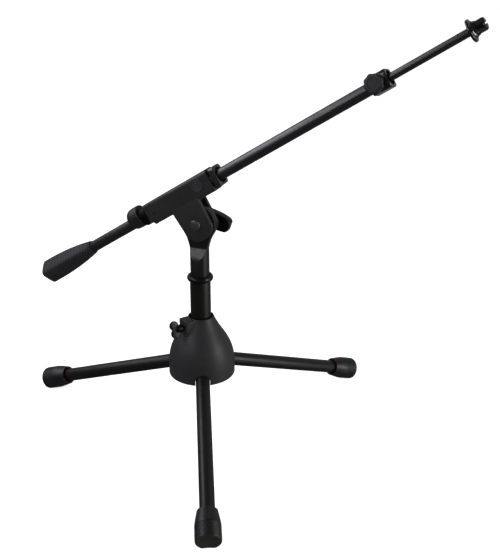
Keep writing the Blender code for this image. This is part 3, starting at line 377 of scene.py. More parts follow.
DRAWN = {"stretch": (1.0, 1.0, 0.06), "local": True}  # grain drawn out along a tube
COATINGS = {
    "cast": dict(
        name="satin_cast_black", slot="cast_black", colour=(0.0175, 0.0173, 0.0165),
        roughness=0.46, grain=1400.0, depth=0.00005, specular=0.45),
    "hub": dict(
        name="hub_cast_black", slot="cast_black", colour=(0.0225, 0.0225, 0.0240),
        roughness=0.46, grain=1500.0, depth=0.00006, edge_radius=0.0006, wear=0.25, specular=0.30),
    "column": dict(
        name="satin_column_black", slot="tube_black", colour=(0.0055, 0.0054, 0.0048),
        roughness=0.34, grain=900.0, depth=0.00002, edge_radius=0.0003, wear=0.4, specular=0.38, **DRAWN),
    "shank": dict(
        name="satin_shank_black", slot="cast_black", colour=(0.0075, 0.0074, 0.0068),
        roughness=0.30, grain=900.0, depth=0.00003, edge_radius=0.0005, wear=0.4, specular=0.45),
    "leg": dict(
        name="satin_leg_black", slot="tube_black", colour=(0.0070, 0.0070, 0.0070),
        roughness=0.38, grain=900.0, depth=0.00002, edge_radius=0.0003, wear=0.4, specular=0.3, **DRAWN),
    "tube": dict(
        name="satin_boom_black", slot="tube_black", colour=(0.0090, 0.0088, 0.0095),
        roughness=0.34, grain=900.0, depth=0.00002, edge_radius=0.0003, wear=0.4, specular=0.85, **DRAWN),
    "gloss": dict(
        name="gloss_enamel_black", slot="gloss_black", colour=(0.0045, 0.0045, 0.0050),
        roughness=0.14, grain=500.0, depth=0.00002, edge_radius=0.0005, wear=0.25, specular=0.6,
        coat=0.5, dust=0.1),
    "steel": dict(
        name="black_oxide_steel", slot="steel_black", colour=(0.0095, 0.0094, 0.0100),
        roughness=0.32, grain=700.0, depth=0.00003, wear=0.5, specular=0.5),
    "plastic": dict(
        name="moulded_black_plastic", slot="plastic_black", colour=(0.0110, 0.0110, 0.0115),
        roughness=0.42, grain=2200.0, depth=0.00006, wear=0.2),
    # Paler copy of the black steel: its lighter base colour is painted light on the bolt's domed head.
    "bolt": dict(
        name="painted_light_bolt_black", slot="steel_black", colour=(0.0230, 0.0230, 0.0250),
        roughness=0.44, grain=700.0, depth=0.00002, wear=0.4, specular=0.95, dust=0.1),
    "dark_plastic": dict(
        name="dark_black_plastic", slot="plastic_black", colour=(0.0035, 0.0035, 0.0035),
        roughness=0.34, grain=1800.0, depth=0.00005, wear=0.2, specular=0.3, dust=0.1),
    "screw": dict(
        name="dark_oxide_steel", slot="steel_black", colour=(0.0038, 0.0038, 0.0040),
        roughness=0.30, grain=700.0, depth=0.00003, wear=0.2, specular=0.22),
    "wing": dict(
        name="rough_cast_wing", slot="steel_black", colour=(0.0034, 0.0034, 0.0036),
        roughness=0.30, grain=380.0, depth=0.00022, wear=0.5, specular=0.22, dust=0.1),
    "cap": dict(
        name="cap_plastic", slot="plastic_black", colour=(0.0130, 0.0130, 0.0145),
        roughness=0.26, grain=1500.0, depth=0.00003, wear=0.5, specular=0.9),
    "badge": dict(
        name="badge_plastic", slot="plastic_black", colour=(0.0300, 0.0295, 0.0330),
        roughness=0.36, grain=1500.0, depth=0.00003, edge_radius=0.0003, wear=0.6, specular=0.6),
    # Near-black, almost unreflective band: painted shade for the shadowed gap between the rear cap and the
    # head.
    "painted_shade_band": dict(
        name="painted_shade_black", slot="plastic_black", colour=(0.0022, 0.0022, 0.0022),
        roughness=0.50, grain=1500.0, depth=0.00003, wear=0.1, specular=0.1, dust=0.1),
    "red": dict(
        name="dark_red_trim", slot="red_trim", colour=(0.055, 0.0022, 0.0045),
        roughness=0.40, grain=1200.0, depth=0.00003, edge_radius=0.0003, wear=0.1, specular=0.3, dust=0.0),
    "brass": dict(
        name="turned_brass", slot="brass_pad", colour=(0.42, 0.28, 0.09),
        roughness=0.35, grain=900.0, depth=0.00003, edge_radius=0.0003, wear=0.1),
}


BOOT_END_START, BOOT_END_FULL = 0.2740, 0.2744        # along the leg: the boot's end face, painted paler as painted light from below


def rubber():
    """Matte foot rubber: soft mottling, fine pits, and a greyer bloom on its ridges."""
    s = Shader("matte_black_rubber", "rubber_black", local=True)
    rounded, edges = s.edge(0.0005)
    cloud = s.ramp(s.noise(60.0, 5.0), 0.35, 0.7)
    tone = s.blend(cloud, (0.0075, 0.0075, 0.0078), (0.0120, 0.0120, 0.0125))
    bloom = s.math("MULTIPLY", edges, s.ramp(s.noise(220.0, 3.0), 0.4, 0.7))
    tone = s.blend(s.math("MULTIPLY", bloom, 0.35), tone, (0.045, 0.045, 0.047))
    scuff = s.ramp(s.noise(130.0, 6.0, (1.0, 1.0, 0.3)), 0.60, 0.78)
    tone = s.blend(s.math("MULTIPLY", scuff, 0.30), tone, (0.035, 0.035, 0.035))
    along = s.node("ShaderNodeSeparateXYZ", {0: s.coordinates}).outputs["Z"]
    # The boot's end face is painted paler: painted light standing in for the light it catches from below.
    painted_end_light = s.ramp(along, BOOT_END_START, BOOT_END_FULL)
    tone = s.blend(s.math("MULTIPLY", painted_end_light, 0.9), tone, (0.026, 0.026, 0.022))
    rough = s.ramp(cloud, 0.0, 1.0, 0.34, 0.44)
    height = s.math("ADD", s.noise(1600.0, 3.0), s.math("MULTIPLY", scuff, 0.6))
    return s.finish(tone, rough, s.bump(height, 0.00012, rounded), specular=0.35)


def hatched_rubber():
    """The counterweight's skin: two crossed sets of fine ridges in a soft-touch coating."""
    s = Shader("hatched_soft_touch", "weight_black", local=True)
    rounded, edges = s.edge(0.0008)
    hatches = []
    for turn in (0.9, -0.9):
        node = s.node("ShaderNodeMapping", {"Vector": s.coordinates, "Rotation": (turn, turn, 0.0)})
        inputs = {"Vector": node.outputs["Vector"], "Scale": 85.0, "Distortion": 0.6, "Detail": 1.0}
        hatches.append(s.node("ShaderNodeTexWave", inputs, bands_direction="X").outputs["Fac"])
    hatch = s.math("MULTIPLY", hatches[0], hatches[1])
    cloud = s.ramp(s.noise(45.0, 4.0), 0.35, 0.7)
    tone = s.blend(cloud, (0.0085, 0.0085, 0.0100), (0.0140, 0.0140, 0.0160))
    tone = s.blend(s.math("MULTIPLY", hatch, 0.8), tone, (0.030, 0.029, 0.034))
    tone = s.blend(s.math("MULTIPLY", edges, 0.15), tone, (0.07, 0.07, 0.075))
    rough = s.ramp(hatch, 0.0, 1.0, 0.62, 0.50)
    height = s.math("ADD", hatch, s.math("MULTIPLY", s.noise(1300.0, 2.0), 0.5))
    return s.finish(tone, rough, s.bump(height, 0.00022, rounded), specular=0.4)


MATERIALS = {key: coated(**look) for key, look in COATINGS.items()}
MATERIALS["rubber"] = rubber()
MATERIALS["weight"] = hatched_rubber()

# Base -----------------------------------------------------------------
HUB_TOP = 0.1834
HUB_RIM = 0.0948
HUB_RADIUS = 0.0475
HUB_BORE = 0.0168
GUIDE_SEAT = 0.0177
GUIDE_TOP = 0.1773
LEDGE = 0.158
NOTCH_HALF = 0.0104
NOTCH_ARCH = 0.1013
HUB_WALL = 0.003
HUB_CUT_HIGH, HUB_CUT_LOW = 0.20, 0.15               # the bore's cutters, past both ends of the neck
BOSS = (0.0297, 0.0105, 0.1605, 0.1828)              # reach, half width, bottom, top
EAR_RADIUS, EAR_CENTRE, EAR_OFFSET = 0.0070, 0.0430, 0.0056
EAR_TURN = math.radians(22.0)


def make_hub():
    shoulder = bezier((0.0278, 0.1642), (0.0424, 0.1430), (0.0476, 0.1312), (HUB_RADIUS, 0.1080), 30)
    outer = [(HUB_BORE + 0.0004, HUB_TOP, 0.0003), (0.0181, HUB_TOP, 0.0010), (0.0208, 0.1768, 0.004)]
    outer += [(r, z, 0.0) for r, z in shoulder]
    rim = [(HUB_RADIUS, HUB_RIM, 0.0014), (HUB_RADIUS - HUB_WALL, HUB_RIM, 0.0006)]
    inside = [(r - HUB_WALL, z - 0.0016, 0.0) for r, z in reversed(shoulder) if z < LEDGE - 0.004]
    throat = [(0.0265, LEDGE, 0.001), (GUIDE_SEAT, LEDGE, 0.0003), (GUIDE_SEAT, GUIDE_TOP, 0.0),
              (HUB_BORE, GUIDE_TOP, 0.0003), (HUB_BORE, HUB_TOP - 0.0004, 0.0)]
    profile = soft_corners(outer + rim + inside + throat, closed=True)
    hub = at(lathe("hub_bell", profile, 144, ring=True), STAND)
    reach, half, low, high = BOSS
    boss = brick("hub_boss", (0.0, -half, low), (reach, half, high), 0.0016, 4, 0.0009)
    turned = STAND @ Matrix.Rotation(SCREW_AZIMUTH, 4, "Z")
    bore = rod("hub_bore", HUB_BORE + CUT_EXTRA, HUB_CUT_HIGH, HUB_CUT_LOW, 144)
    seat = rod("hub_seat", GUIDE_SEAT + CUT_EXTRA, GUIDE_TOP, HUB_CUT_LOW, 144)
    screw_hole = rod("hub_screw_hole", 0.0033, 0.040, 0.010, 32)
    notches = []
    for name in SIDES:
        spin = STAND @ Matrix.Rotation(leg_azimuth(name), 4, "Z")
        outline = [(0.080, -NOTCH_HALF), (0.080, NOTCH_HALF),
                   *[(z, -y) for y, z in arc((0.0, NOTCH_ARCH), NOTCH_HALF, 180.0, 0.0, 24)]]
        spot = spin @ Matrix.Translation((HUB_RADIUS, 0.0, 0.0)) @ Matrix.Rotation(-QUARTER, 4, "Y")
        notches.append(at(slab("notch", outline, 0.016), spot))
    carve(hub, joins=[at(boss, turned)])
    carve(hub, cuts=[at(bore, STAND), at(seat, STAND), at(screw_hole, SCREW @ ALONG_X), *notches])
    piece(hub, MATERIALS["hub"], "base", "hub_housing")


def make_hub_screw():
    stem = lathe("hub_wing_screw_detail", soft_corners(
        [(0.0, 0.0426, 0.0), (0.0032, 0.0426, 0.001), (0.0054, 0.0395, 0.002), (0.0057, 0.0330, 0.0008),
         (0.0057, 0.0312, 0.0005), (0.0030, 0.0312, 0.0), (0.0030, 0.0180, 0.0006), (0.0, 0.0180, 0.0)]), 64)
    reach = math.degrees(math.atan2(EAR_OFFSET, math.sqrt(EAR_RADIUS ** 2 - EAR_OFFSET ** 2)))
    upper = arc((EAR_CENTRE, EAR_OFFSET), EAR_RADIUS, -reach, 180.0 + reach, 40)
    lower = arc((EAR_CENTRE, -EAR_OFFSET), EAR_RADIUS, 180.0 - reach, 360.0 + reach, 40)
    ears = slab("screw_ears", upper + lower[1:-1], 0.0036, 0.0014, 4)
    turn = Matrix.Rotation(EAR_TURN, 4, "X")
    carve(at(stem, SCREW @ ALONG_X), joins=[at(ears, SCREW @ turn @ UPRIGHT)])
    piece(stem, MATERIALS["wing"], "hub_screw", "hub_wing_screw", sharp=40.0)


# Legs -----------------------------------------------------------------
LEG_RADIUS = 0.010
LEG_WALL = 0.0015
LEG_START, LEG_END = 0.0152, 0.2695
FOOT_START, FOOT_END = 0.2326, 0.2750
FOOT_RADIUS = 0.0172
FOOT_MOUTH = 0.0138
FOOT_WIDEST = 0.2585
FOOT_SIDE_END = 0.2728                               # where the boot's side turns into its end
FOOT_STEPS = 150
FOOT_RIBS_START, FOOT_RIBS_END = 0.2540, 0.2726
FOOT_RIB_COUNT = 9
FOOT_RIB_DEPTH = 0.0004
RING_OUTER, RING_INNER = 0.0133, 0.0114


def foot_surface(z):
    """The boot's outer radius at a distance along the leg, with its fine ribs cut in."""
    rise = min(max((z - FOOT_START) / (FOOT_WIDEST - FOOT_START), 0.0), 1.0)
    radius = FOOT_MOUTH + (FOOT_RADIUS - FOOT_MOUTH) * math.sin(QUARTER * rise) ** 1.1
    if z > FOOT_RIBS_START:
        radius -= 0.0002
        turn = (z - FOOT_RIBS_START) / (FOOT_RIBS_END - FOOT_RIBS_START) * FOOT_RIB_COUNT
        radius -= FOOT_RIB_DEPTH * max(0.0, math.cos(TAU * turn)) ** 3
    return radius


def make_leg(name):
    place = leg_frame(name)
    body = "leg_" + name
    tube = pipe("leg_tube_detail_" + name, LEG_RADIUS, LEG_RADIUS - LEG_WALL, LEG_START, LEG_END, 96, 0.0005)
    piece(at(tube, place @ ALONG_X), MATERIALS["leg"], body, "leg_tube_" + name)

    bore = LEG_RADIUS + CLEAR
    side = FOOT_SIDE_END - FOOT_START
    heights = [FOOT_START + side * i / FOOT_STEPS for i in range(FOOT_STEPS + 1)]
    outside = [(foot_surface(z), z) for z in reversed(heights)]
    end_radius = outside[0][0]
    shoulder = bezier((0.0150, FOOT_END), (0.0164, FOOT_END), (end_radius, 0.2742), outside[0], 10)[:-1]
    lip = soft_corners([(FOOT_MOUTH, FOOT_START + 0.0003, 0.0), (FOOT_MOUTH, FOOT_START - 0.0004, 0.0003),
                        (0.0134, FOOT_START - 0.0004, 0.0002), (0.0134, FOOT_START + 0.0030, 0.0)])
    mouth = [(bore, FOOT_START + 0.0032), (bore, LEG_END + CLEAR), (0.0, LEG_END + CLEAR)]
    face = [(0.0, FOOT_END - 0.0005), (FOOT_MOUTH, FOOT_END - 0.0005), (0.0144, FOOT_END - 0.0001)]
    foot = lathe("foot_boot_" + name, face + shoulder + outside + lip + mouth, 96)
    floor = brick("foot_floor", (0.2, -0.05, -0.02), (0.33, 0.05, 0.0), 0.0, 1, 0.0)
    at(floor, STAND @ Matrix.Rotation(leg_azimuth(name), 4, "Z"))
    carve(at(foot, place @ ALONG_X), cuts=[floor])
    piece(foot, MATERIALS["rubber"], body, "foot_" + name, sharp=45.0)

    ring_profile = soft_corners(
        [(RING_OUTER, FOOT_START + 0.0016, 0.0), (RING_OUTER, FOOT_START - 0.0001, 0.0004),
         (RING_INNER, FOOT_START - 0.0001, 0.0004), (RING_INNER, FOOT_START + 0.0016, 0.0)], closed=True)
    ring = lathe("foot_collar_" + name, ring_profile, 96, ring=True)
    piece(at(ring, place @ ALONG_X), MATERIALS["red"], body, "foot_ring_" + name)


# Column ---------------------------------------------------------------
COLUMN_RADIUS = 0.0145
COLUMN_WALL = 0.0015
COLUMN_BOTTOM, COLUMN_TOP = 0.1204, 0.2375
COLLAR_LOW, COLLAR_HIGH = 0.2378, 0.2464
SHANK_RADIUS = 0.0134
SPIGOT_RADIUS, SPIGOT_BOTTOM = 0.0127, 0.200
SHANK_SHOULDER, SHANK_TOP = 0.2400, 0.292
FLAT_LOW, FLAT_HIGH = 0.270, 0.287
TONGUE_RADIUS = 0.0255
TONGUE_HALF = 0.005
BOLT_HOLE = 0.0043


def make_column():
    inner = COLUMN_RADIUS - COLUMN_WALL
    tube = pipe("column_tube_detail", COLUMN_RADIUS, inner, COLUMN_BOTTOM, COLUMN_TOP, 128, 0.0005)
    piece(at(tube, STAND), MATERIALS["column"], "column", "column_tube")
    middle = (COLLAR_LOW + COLLAR_HIGH) / 2
    half = (COLLAR_HIGH - COLLAR_LOW) / 2
    bead = [(0.0146 + 0.0038 * x, middle + half * y) for x, y in arc((0.0, 0.0), 1.0, 90.0, -90.0, 40)]
    bore = SHANK_RADIUS + CLEAR
    profile = bead + [(bore + 0.0003, COLLAR_LOW), (bore, COLLAR_LOW + 0.0003), (bore, COLLAR_HIGH - 0.0010),
                      (bore + 0.0002, COLLAR_HIGH - 0.0003)]
    collar = lathe("column_collar_detail", profile, 128, ring=True)
    piece(at(collar, STAND), MATERIALS["dark_plastic"], "column", "column_collar")


def make_shank():
    profile = soft_corners(
        [(0.0, SHANK_TOP, 0.0), (SHANK_RADIUS, SHANK_TOP, 0.0), (SHANK_RADIUS, SHANK_SHOULDER, 0.0004),
         (SPIGOT_RADIUS, SHANK_SHOULDER, 0.0), (SPIGOT_RADIUS, SPIGOT_BOTTOM, 0.0006),
         (0.0, SPIGOT_BOTTOM, 0.0)])
    shank = at(lathe("swivel_shank_detail", profile, 144), STAND)
    flats = []
    slope = (SHANK_RADIUS - TONGUE_HALF) / (FLAT_HIGH - FLAT_LOW)
    for side in (-1, 1):
        low = FLAT_LOW - 0.002
        outline = [(TONGUE_HALF, 0.310, 0.0), (TONGUE_HALF, FLAT_HIGH, 0.0015),
                   (SHANK_RADIUS + slope * 0.002, low, 0.0), (0.040, low, 0.0), (0.040, 0.310, 0.0)]
        points = [(side * a, b) for a, b in soft_corners(outline, closed=True)]
        flats.append(at(slab("shank_flat", points, 0.06), STAND @ Matrix.Rotation(QUARTER, 4, "Z") @ UPRIGHT))
    carve(shank, cuts=flats)
    neck = math.sqrt(SHANK_RADIUS ** 2 - TONGUE_HALF ** 2) - 0.0001
    drop = PIVOT_POINT.z - FLAT_HIGH
    outline = [*[(x, y, 0.0) for x, y in arc((0.0, 0.0), TONGUE_RADIUS, -33.0, 213.0, 90)],
               (-0.0168, -0.0220, 0.004), (-neck - 0.0008, -drop + 0.0016, 0.006),
               (-neck, -drop - 0.002, 0.0), (neck, -drop - 0.002, 0.0),
               (neck + 0.0008, -drop + 0.0016, 0.006), (0.0168, -0.0220, 0.004)]
    disc = slab("shank_disc", soft_corners(outline, closed=True), 2 * TONGUE_HALF, 0.0007, 3)
    hole = rod("shank_hole", BOLT_HOLE, 0.02, -0.02, 48)
    high = Matrix.Translation((0.0, 0.0, PIVOT_POINT.z))
    carve(shank, joins=[at(disc, STAND @ high @ UPRIGHT)], cuts=[at(hole, STAND @ high @ ACROSS)])
    piece(shank, MATERIALS["shank"], "shank", "swivel_shank")


# Boom head ------------------------------------------------------------
HEAD = (0.057, 0.012, 0.0156)                        # half length, half depth, half height
HEAD_EDGE = 0.005
NECK_HALF, NECK_TOP, NECK_END = 0.0212, 0.0245, 0.024
SLOT_HALF = 0.0066
SLOT_RADIUS = 0.0263
HEAD_BORE = 0.0105
OUTER_RADIUS = 0.008
SET_SCREW = (-0.0445, 0.0, -0.0013)
DOT_RADIUS = 0.0007
DOT_PLACES = ((0.0478, 0.0086), (0.0494, 0.0040), (0.0482, -0.0006), (0.0512, -0.0046))
BADGE = (0.0358, 0.0036, 0.0095)                     # along the boom, above its axis, radius


def make_head():
    depth, height = HEAD[1:]
    corner = Vector(HEAD)
    body = at(brick("boom_head_detail", -corner, corner, HEAD_EDGE, 10, 0.0008), LINE)
    under = BOOM_OFFSET - height + HEAD_EDGE
    bend = math.degrees(math.acos(NECK_HALF / NECK_END))
    outline = [*[(x, y, 0.0) for x, y in arc((0.0, 0.0), NECK_END, 180.0 + bend, 360.0 - bend, 60)],
               (NECK_TOP, under, 0.0), (-NECK_TOP + 0.002, under, 0.0)]
    neck = slab("head_neck", soft_corners(outline, closed=True), 2 * depth, 0.0008, 3)
    slot = rod("head_slot", SLOT_RADIUS, SLOT_HALF, -SLOT_HALF, 144)
    drop = brick("head_drop", (-0.03, -SLOT_HALF, -0.03), (0.03, SLOT_HALF, 0.0258), 0.0, 1, 0.0)
    bore = rod("head_bore", HEAD_BORE, 0.07, -0.07, 96)
    bolt_hole = rod("head_bolt_hole", BOLT_HOLE, 0.02, -0.02, 48)
    step = brick("head_step", (-0.07, -0.02, -0.03), (-0.052, 0.02, -0.0116), 0.0, 1, 0.0)
    screw_hole = rod("head_screw_hole", 0.0018, -0.009, -0.013, 32)
    dome = arc((0.0, -depth), DOT_RADIUS, 270.0, 360.0, 8)[1:]
    root = -depth + 0.001
    profile = [(0.0, -depth - DOT_RADIUS), *dome, (DOT_RADIUS, root), (0.0, root)]
    dots = []
    for x, z in DOT_PLACES:
        spot = LINE @ Matrix.Translation((x, 0.0, z)) @ ACROSS
        dots.append(at(lathe("head_dot", profile, 16), spot))
    carve(body, joins=[at(neck, PIVOT @ UPRIGHT), *dots], cuts=[
        at(slot, PIVOT @ ACROSS), at(drop, PIVOT), at(bore, LINE @ ALONG_X), at(bolt_hole, PIVOT @ ACROSS),
        at(step, LINE), at(screw_hole, LINE @ Matrix.Translation(SET_SCREW) @ ACROSS)])
    piece(body, MATERIALS["cast"], "head", "boom_head")

    place = LINE @ Matrix.Translation((BADGE[0], 0.0, BADGE[1])) @ ACROSS
    back = -depth - 0.0001
    radius = BADGE[2]
    steps = [(0.0, back - 0.0003, 0.0)]
    for ring in (0.24, 0.50, 0.76):
        near, far = radius * ring, radius * (ring + 0.11)
        steps += [(near, back - 0.0003, 0.0001), (near, back - 0.0008, 0.0002),
                  (far, back - 0.0008, 0.0002), (far, back - 0.0003, 0.0001)]
    steps += [(radius - 0.0006, back - 0.0003, 0.0001), (radius - 0.0005, back - 0.0009, 0.0002),
              (radius, back - 0.0006, 0.0002), (radius, back, 0.0), (0.0, back, 0.0)]
    badge = lathe("head_badge_detail", soft_corners(steps), 96)
    piece(at(badge, place), MATERIALS["badge"], "head", "head_badge")


BUSH_RADIUS = 0.0102
FRONT_CAP = ((0.0602, -0.0125, -0.0138), (0.0688, 0.0125, 0.0144))
REAR_CAP_RADIUS = 0.0152
REAR_CAP_FRONT, REAR_CAP_BACK = -0.0685, -0.0896
REAR_CAP_LIFT = 0.0046
BAND_RADIUS, BAND_LIFT = 0.0134, 0.0012


def make_bushes():
    inner = OUTER_RADIUS + CLEAR
    front = at(pipe("front_bush_detail", BUSH_RADIUS, inner, 0.036, 0.0645, 96), LINE @ ALONG_X)
    cap = at(brick("front_cap", *FRONT_CAP, 0.0050, 10, 0.0009), LINE)
    mouth = lathe("front_mouth", solid([(0.0112, 0.080), (0.0112, 0.0690), (0.0104, 0.0640)]), 96)
    through = rod("front_through", inner + CUT_EXTRA, 0.080, 0.050, 96)
    carve(cap, cuts=[at(mouth, LINE @ ALONG_X), at(through, LINE @ ALONG_X)])
    carve(front, joins=[cap])
    piece(front, MATERIALS["cap"], "head", "front_bush")

    lifted = LINE @ Matrix.Translation((0.0, 0.0, REAR_CAP_LIFT)) @ ALONG_X
    cap = at(lathe("rear_cap", soft_corners(
        [(0.0, REAR_CAP_FRONT, 0.0), (0.0146, REAR_CAP_FRONT, 0.0008), (REAR_CAP_RADIUS, -0.0698, 0.001),
         (REAR_CAP_RADIUS, -0.0826, 0.006), (0.0132, -0.0880, 0.006), (0.0096, REAR_CAP_BACK, 0.002),
         (0.0, REAR_CAP_BACK, 0.0)], steps=8), 96), lifted)
    bore = rod("rear_through", inner + CUT_EXTRA, -0.03, -0.10, 96)
    carve(cap, cuts=[at(bore, LINE @ ALONG_X)])
    rear = at(pipe("rear_bush_detail", BUSH_RADIUS, inner, -0.085, -0.036, 96), LINE @ ALONG_X)
    carve(rear, joins=[cap])
    piece(rear, MATERIALS["plastic"], "head", "rear_bush")
    # A near-black band fills the gap behind the rear cap: painted shade where that gap lies in shadow.
    band = at(pipe("rear_painted_shade_band", BAND_RADIUS, BUSH_RADIUS + 0.0001, -0.0684, -0.0573, 96, 0.0006),
              LINE @ Matrix.Translation((0.0, 0.0, BAND_LIFT)) @ ALONG_X)
    piece(band, MATERIALS["painted_shade_band"], "head", "rear_bush")


BOLT_RADIUS, BOLT_HEAD = 0.004, 0.0075
KNOB_START, WING_START, KNOB_END = 0.0139, 0.0230, 0.0360
KNOB_WELL_END = 0.0305
WING_REACH, WING_TIP = 0.0352, 0.0096
KNOB_TURN = math.radians(19.0)


def make_pivot():
    face = HEAD[1] + CLEAR
    bolt = lathe("pivot_bolt_detail", soft_corners(
        [(0.0, 0.0300, 0.0), (BOLT_RADIUS, 0.0300, 0.0006), (BOLT_RADIUS, -face, 0.0),
         (BOLT_HEAD, -face, 0.0), (BOLT_HEAD, -face - 0.0012, 0.0006), (0.0066, -face - 0.0027, 0.0012),
         (0.0036, -face - 0.0035, 0.001), (0.0, -face - 0.0037, 0.0)]), 96)
    piece(at(bolt, PIVOT @ ACROSS), MATERIALS["bolt"], "head", "pivot_bolt", sharp=60.0)

    knob = lathe("pivot_wing_knob_detail", soft_corners(
        [(0.0, KNOB_END - 0.0010, 0.0), (0.0085, KNOB_END - 0.0010, 0.001),
         (0.0100, WING_START + 0.004, 0.002), (0.0125, WING_START - 0.002, 0.001),
         (0.0125, KNOB_START, 0.0006), (BOLT_HOLE, KNOB_START, 0.0),
         (BOLT_HOLE, KNOB_WELL_END, 0.0), (0.0, KNOB_WELL_END, 0.0)]), 96)
    shoulder = WING_REACH - 0.003
    below = bezier((0.0, -0.0112), (0.012, -0.0122), (0.023, -0.0126), (shoulder, -WING_TIP), 20)
    above = bezier((shoulder, WING_TIP), (0.023, 0.0126), (0.012, 0.0122), (0.0, 0.0112), 20)
    half = [*[(x, y, 0.0) for x, y in below], (WING_REACH, -WING_TIP + 0.003, 0.001),
            (WING_REACH, WING_TIP - 0.003, 0.001), *[(x, y, 0.0) for x, y in above]]
    outline = half + [(-x, -y, radius) for x, y, radius in half[1:-1]]
    wings = slab("knob_wings", soft_corners(outline, closed=True), KNOB_END - WING_START, 0.0018, 5)
    turn = Matrix.Rotation(KNOB_TURN + BOOM_ANGLE, 4, "Y")
    at(wings, PIVOT @ Matrix.Translation((0.0, (WING_START + KNOB_END) / 2, 0.0)) @ turn @ UPRIGHT)
    well = rod("knob_well", BOLT_HOLE, KNOB_WELL_END, 0.010, 48)
    carve(at(knob, PIVOT @ ACROSS), joins=[wings], cuts=[at(well, PIVOT @ ACROSS)])
    piece(knob, MATERIALS["dark_plastic"], "wing_knob", "pivot_wing_knob", sharp=40.0)


# Boom -----------------------------------------------------------------
OUTER_WALL = 0.0011
OUTER_START, OUTER_END = -0.257, 0.3095
INNER_RADIUS = 0.005
INNER_WALL = 0.001
INNER_START, INNER_END = 0.035, 0.4345
PIN_X = 0.4222
PIN_TURN = -QUARTER - math.radians(50.0)
PIN_HOLE, PIN_HOLE_HALF = 0.0013, 0.0065
WEIGHT_NEAR, WEIGHT_FAR = -0.1707, -0.2645
WEIGHT_NEAR_RADIUS, WEIGHT_FAR_RADIUS = 0.0094, 0.0174
WEIGHT_ROLL = math.radians(37.0)
# both ends of the weight: (share of its length, share of its full radius there)
WEIGHT_LIP = [(0.000, 0.93), (0.002, 0.975), (0.006, 1.0), (0.022, 1.0), (0.027, 0.968), (0.032, 1.0)]
WEIGHT_TAIL = [(0.992, 0.993), (0.999, 0.975), (1.006, 0.945), (1.012, 0.905), (1.0165, 0.85)]
WEIGHT_SIDES = 128
CLUTCH_START, CLUTCH_END = 0.3055, 0.3306
CLUTCH_HALF, CLUTCH_EDGE = 0.0118, 0.0052
CLUTCH_KNOB_X = 0.3152
CLUTCH_CUT_LOW, CLUTCH_CUT_HIGH = 0.28, 0.34          # its bores' cutters, past both ends of the body
GRIP_RADIUS, GRIP_WAVE, GRIP_LOBES = 0.0117, 0.0005, 8
GRIP_POINTS = 160
STUD_RADIUS = 0.00795                                # 5/8 inch microphone thread
STUD_CORE = STUD_RADIUS - 0.00038
STUD_SPIGOT = 0.0037
SLOT_DEPTH, STUD_SLOT_HALF = 0.0026, 0.0012
STUD_END = 0.4552
NUT_START, NUT_END = 0.4352, 0.4442
THREAD_PITCH = 0.0254 / 27


def make_tubes():
    outer = pipe("boom_outer_detail", OUTER_RADIUS, OUTER_RADIUS - OUTER_WALL, OUTER_START, OUTER_END)
    piece(at(outer, LINE @ ALONG_X), MATERIALS["tube"], "boom", "boom_outer_tube")
    bore = INNER_RADIUS - INNER_WALL
    inner = pipe("boom_inner_detail", INNER_RADIUS, bore, INNER_START, INNER_END, 72, 0.0003)
    at(inner, LINE @ ALONG_X)
    hole = rod("inner_pin_hole", PIN_HOLE, PIN_HOLE_HALF, -PIN_HOLE_HALF, 24)
    turn = Matrix.Rotation(PIN_TURN, 4, "X")
    carve(inner, cuts=[at(hole, LINE @ Matrix.Translation((PIN_X, 0.0, 0.0)) @ turn)])
    piece(inner, MATERIALS["tube"], "inner_boom", "boom_inner_tube")


def superellipse(angle, power):
    return (abs(math.cos(angle)) ** power + abs(math.sin(angle)) ** power) ** (-1.0 / power)


def weight_ring(bm, u, scale):
    """One loop of the weight: round near the boom, and a rounded square at the far end."""
    growth = 1.0 - (1.0 - min(u, 1.0)) ** 2.5
    power = 2.0 + 2.6 * growth
    corner = WEIGHT_NEAR_RADIUS + (WEIGHT_FAR_RADIUS - WEIGHT_NEAR_RADIUS) * growth
    x = WEIGHT_NEAR + (WEIGHT_FAR - WEIGHT_NEAR) * u
    diagonal = superellipse(math.radians(45.0), power)
    ring = []
    for i in range(WEIGHT_SIDES):
        angle = TAU * i / WEIGHT_SIDES
        radius = scale * corner * superellipse(angle, power) / diagonal
        turn = angle + WEIGHT_ROLL
        ring.append(bm.verts.new((x, radius * math.cos(turn), radius * math.sin(turn))))
    return ring


def make_counterweight():
    bm = bmesh.new()
    lip_end = WEIGHT_LIP[-1][0]
    main = [(lip_end + (0.985 - lip_end) * i / 60, 1.0) for i in range(1, 61)]
    loops = [weight_ring(bm, u, scale) for u, scale in WEIGHT_LIP + main + WEIGHT_TAIL]
    for first, second in zip(loops, loops[1:]):
        for i in range(WEIGHT_SIDES):
            j = (i + 1) % WEIGHT_SIDES
            bm.faces.new((first[i], second[i], second[j], first[j]))
    bm.faces.new(loops[0])
    bm.faces.new(list(reversed(loops[-1])))
    bmesh.ops.recalc_face_normals(bm, faces=bm.faces)
    weight = at(as_object("counterweight_detail", bm), LINE)
    socket = rod("weight_socket", OUTER_RADIUS + CLEAR, -0.16, OUTER_START - CLEAR, 96)
    carve(weight, cuts=[at(socket, LINE @ ALONG_X)])
    piece(weight, MATERIALS["weight"], "boom", "counterweight", sharp=40.0)


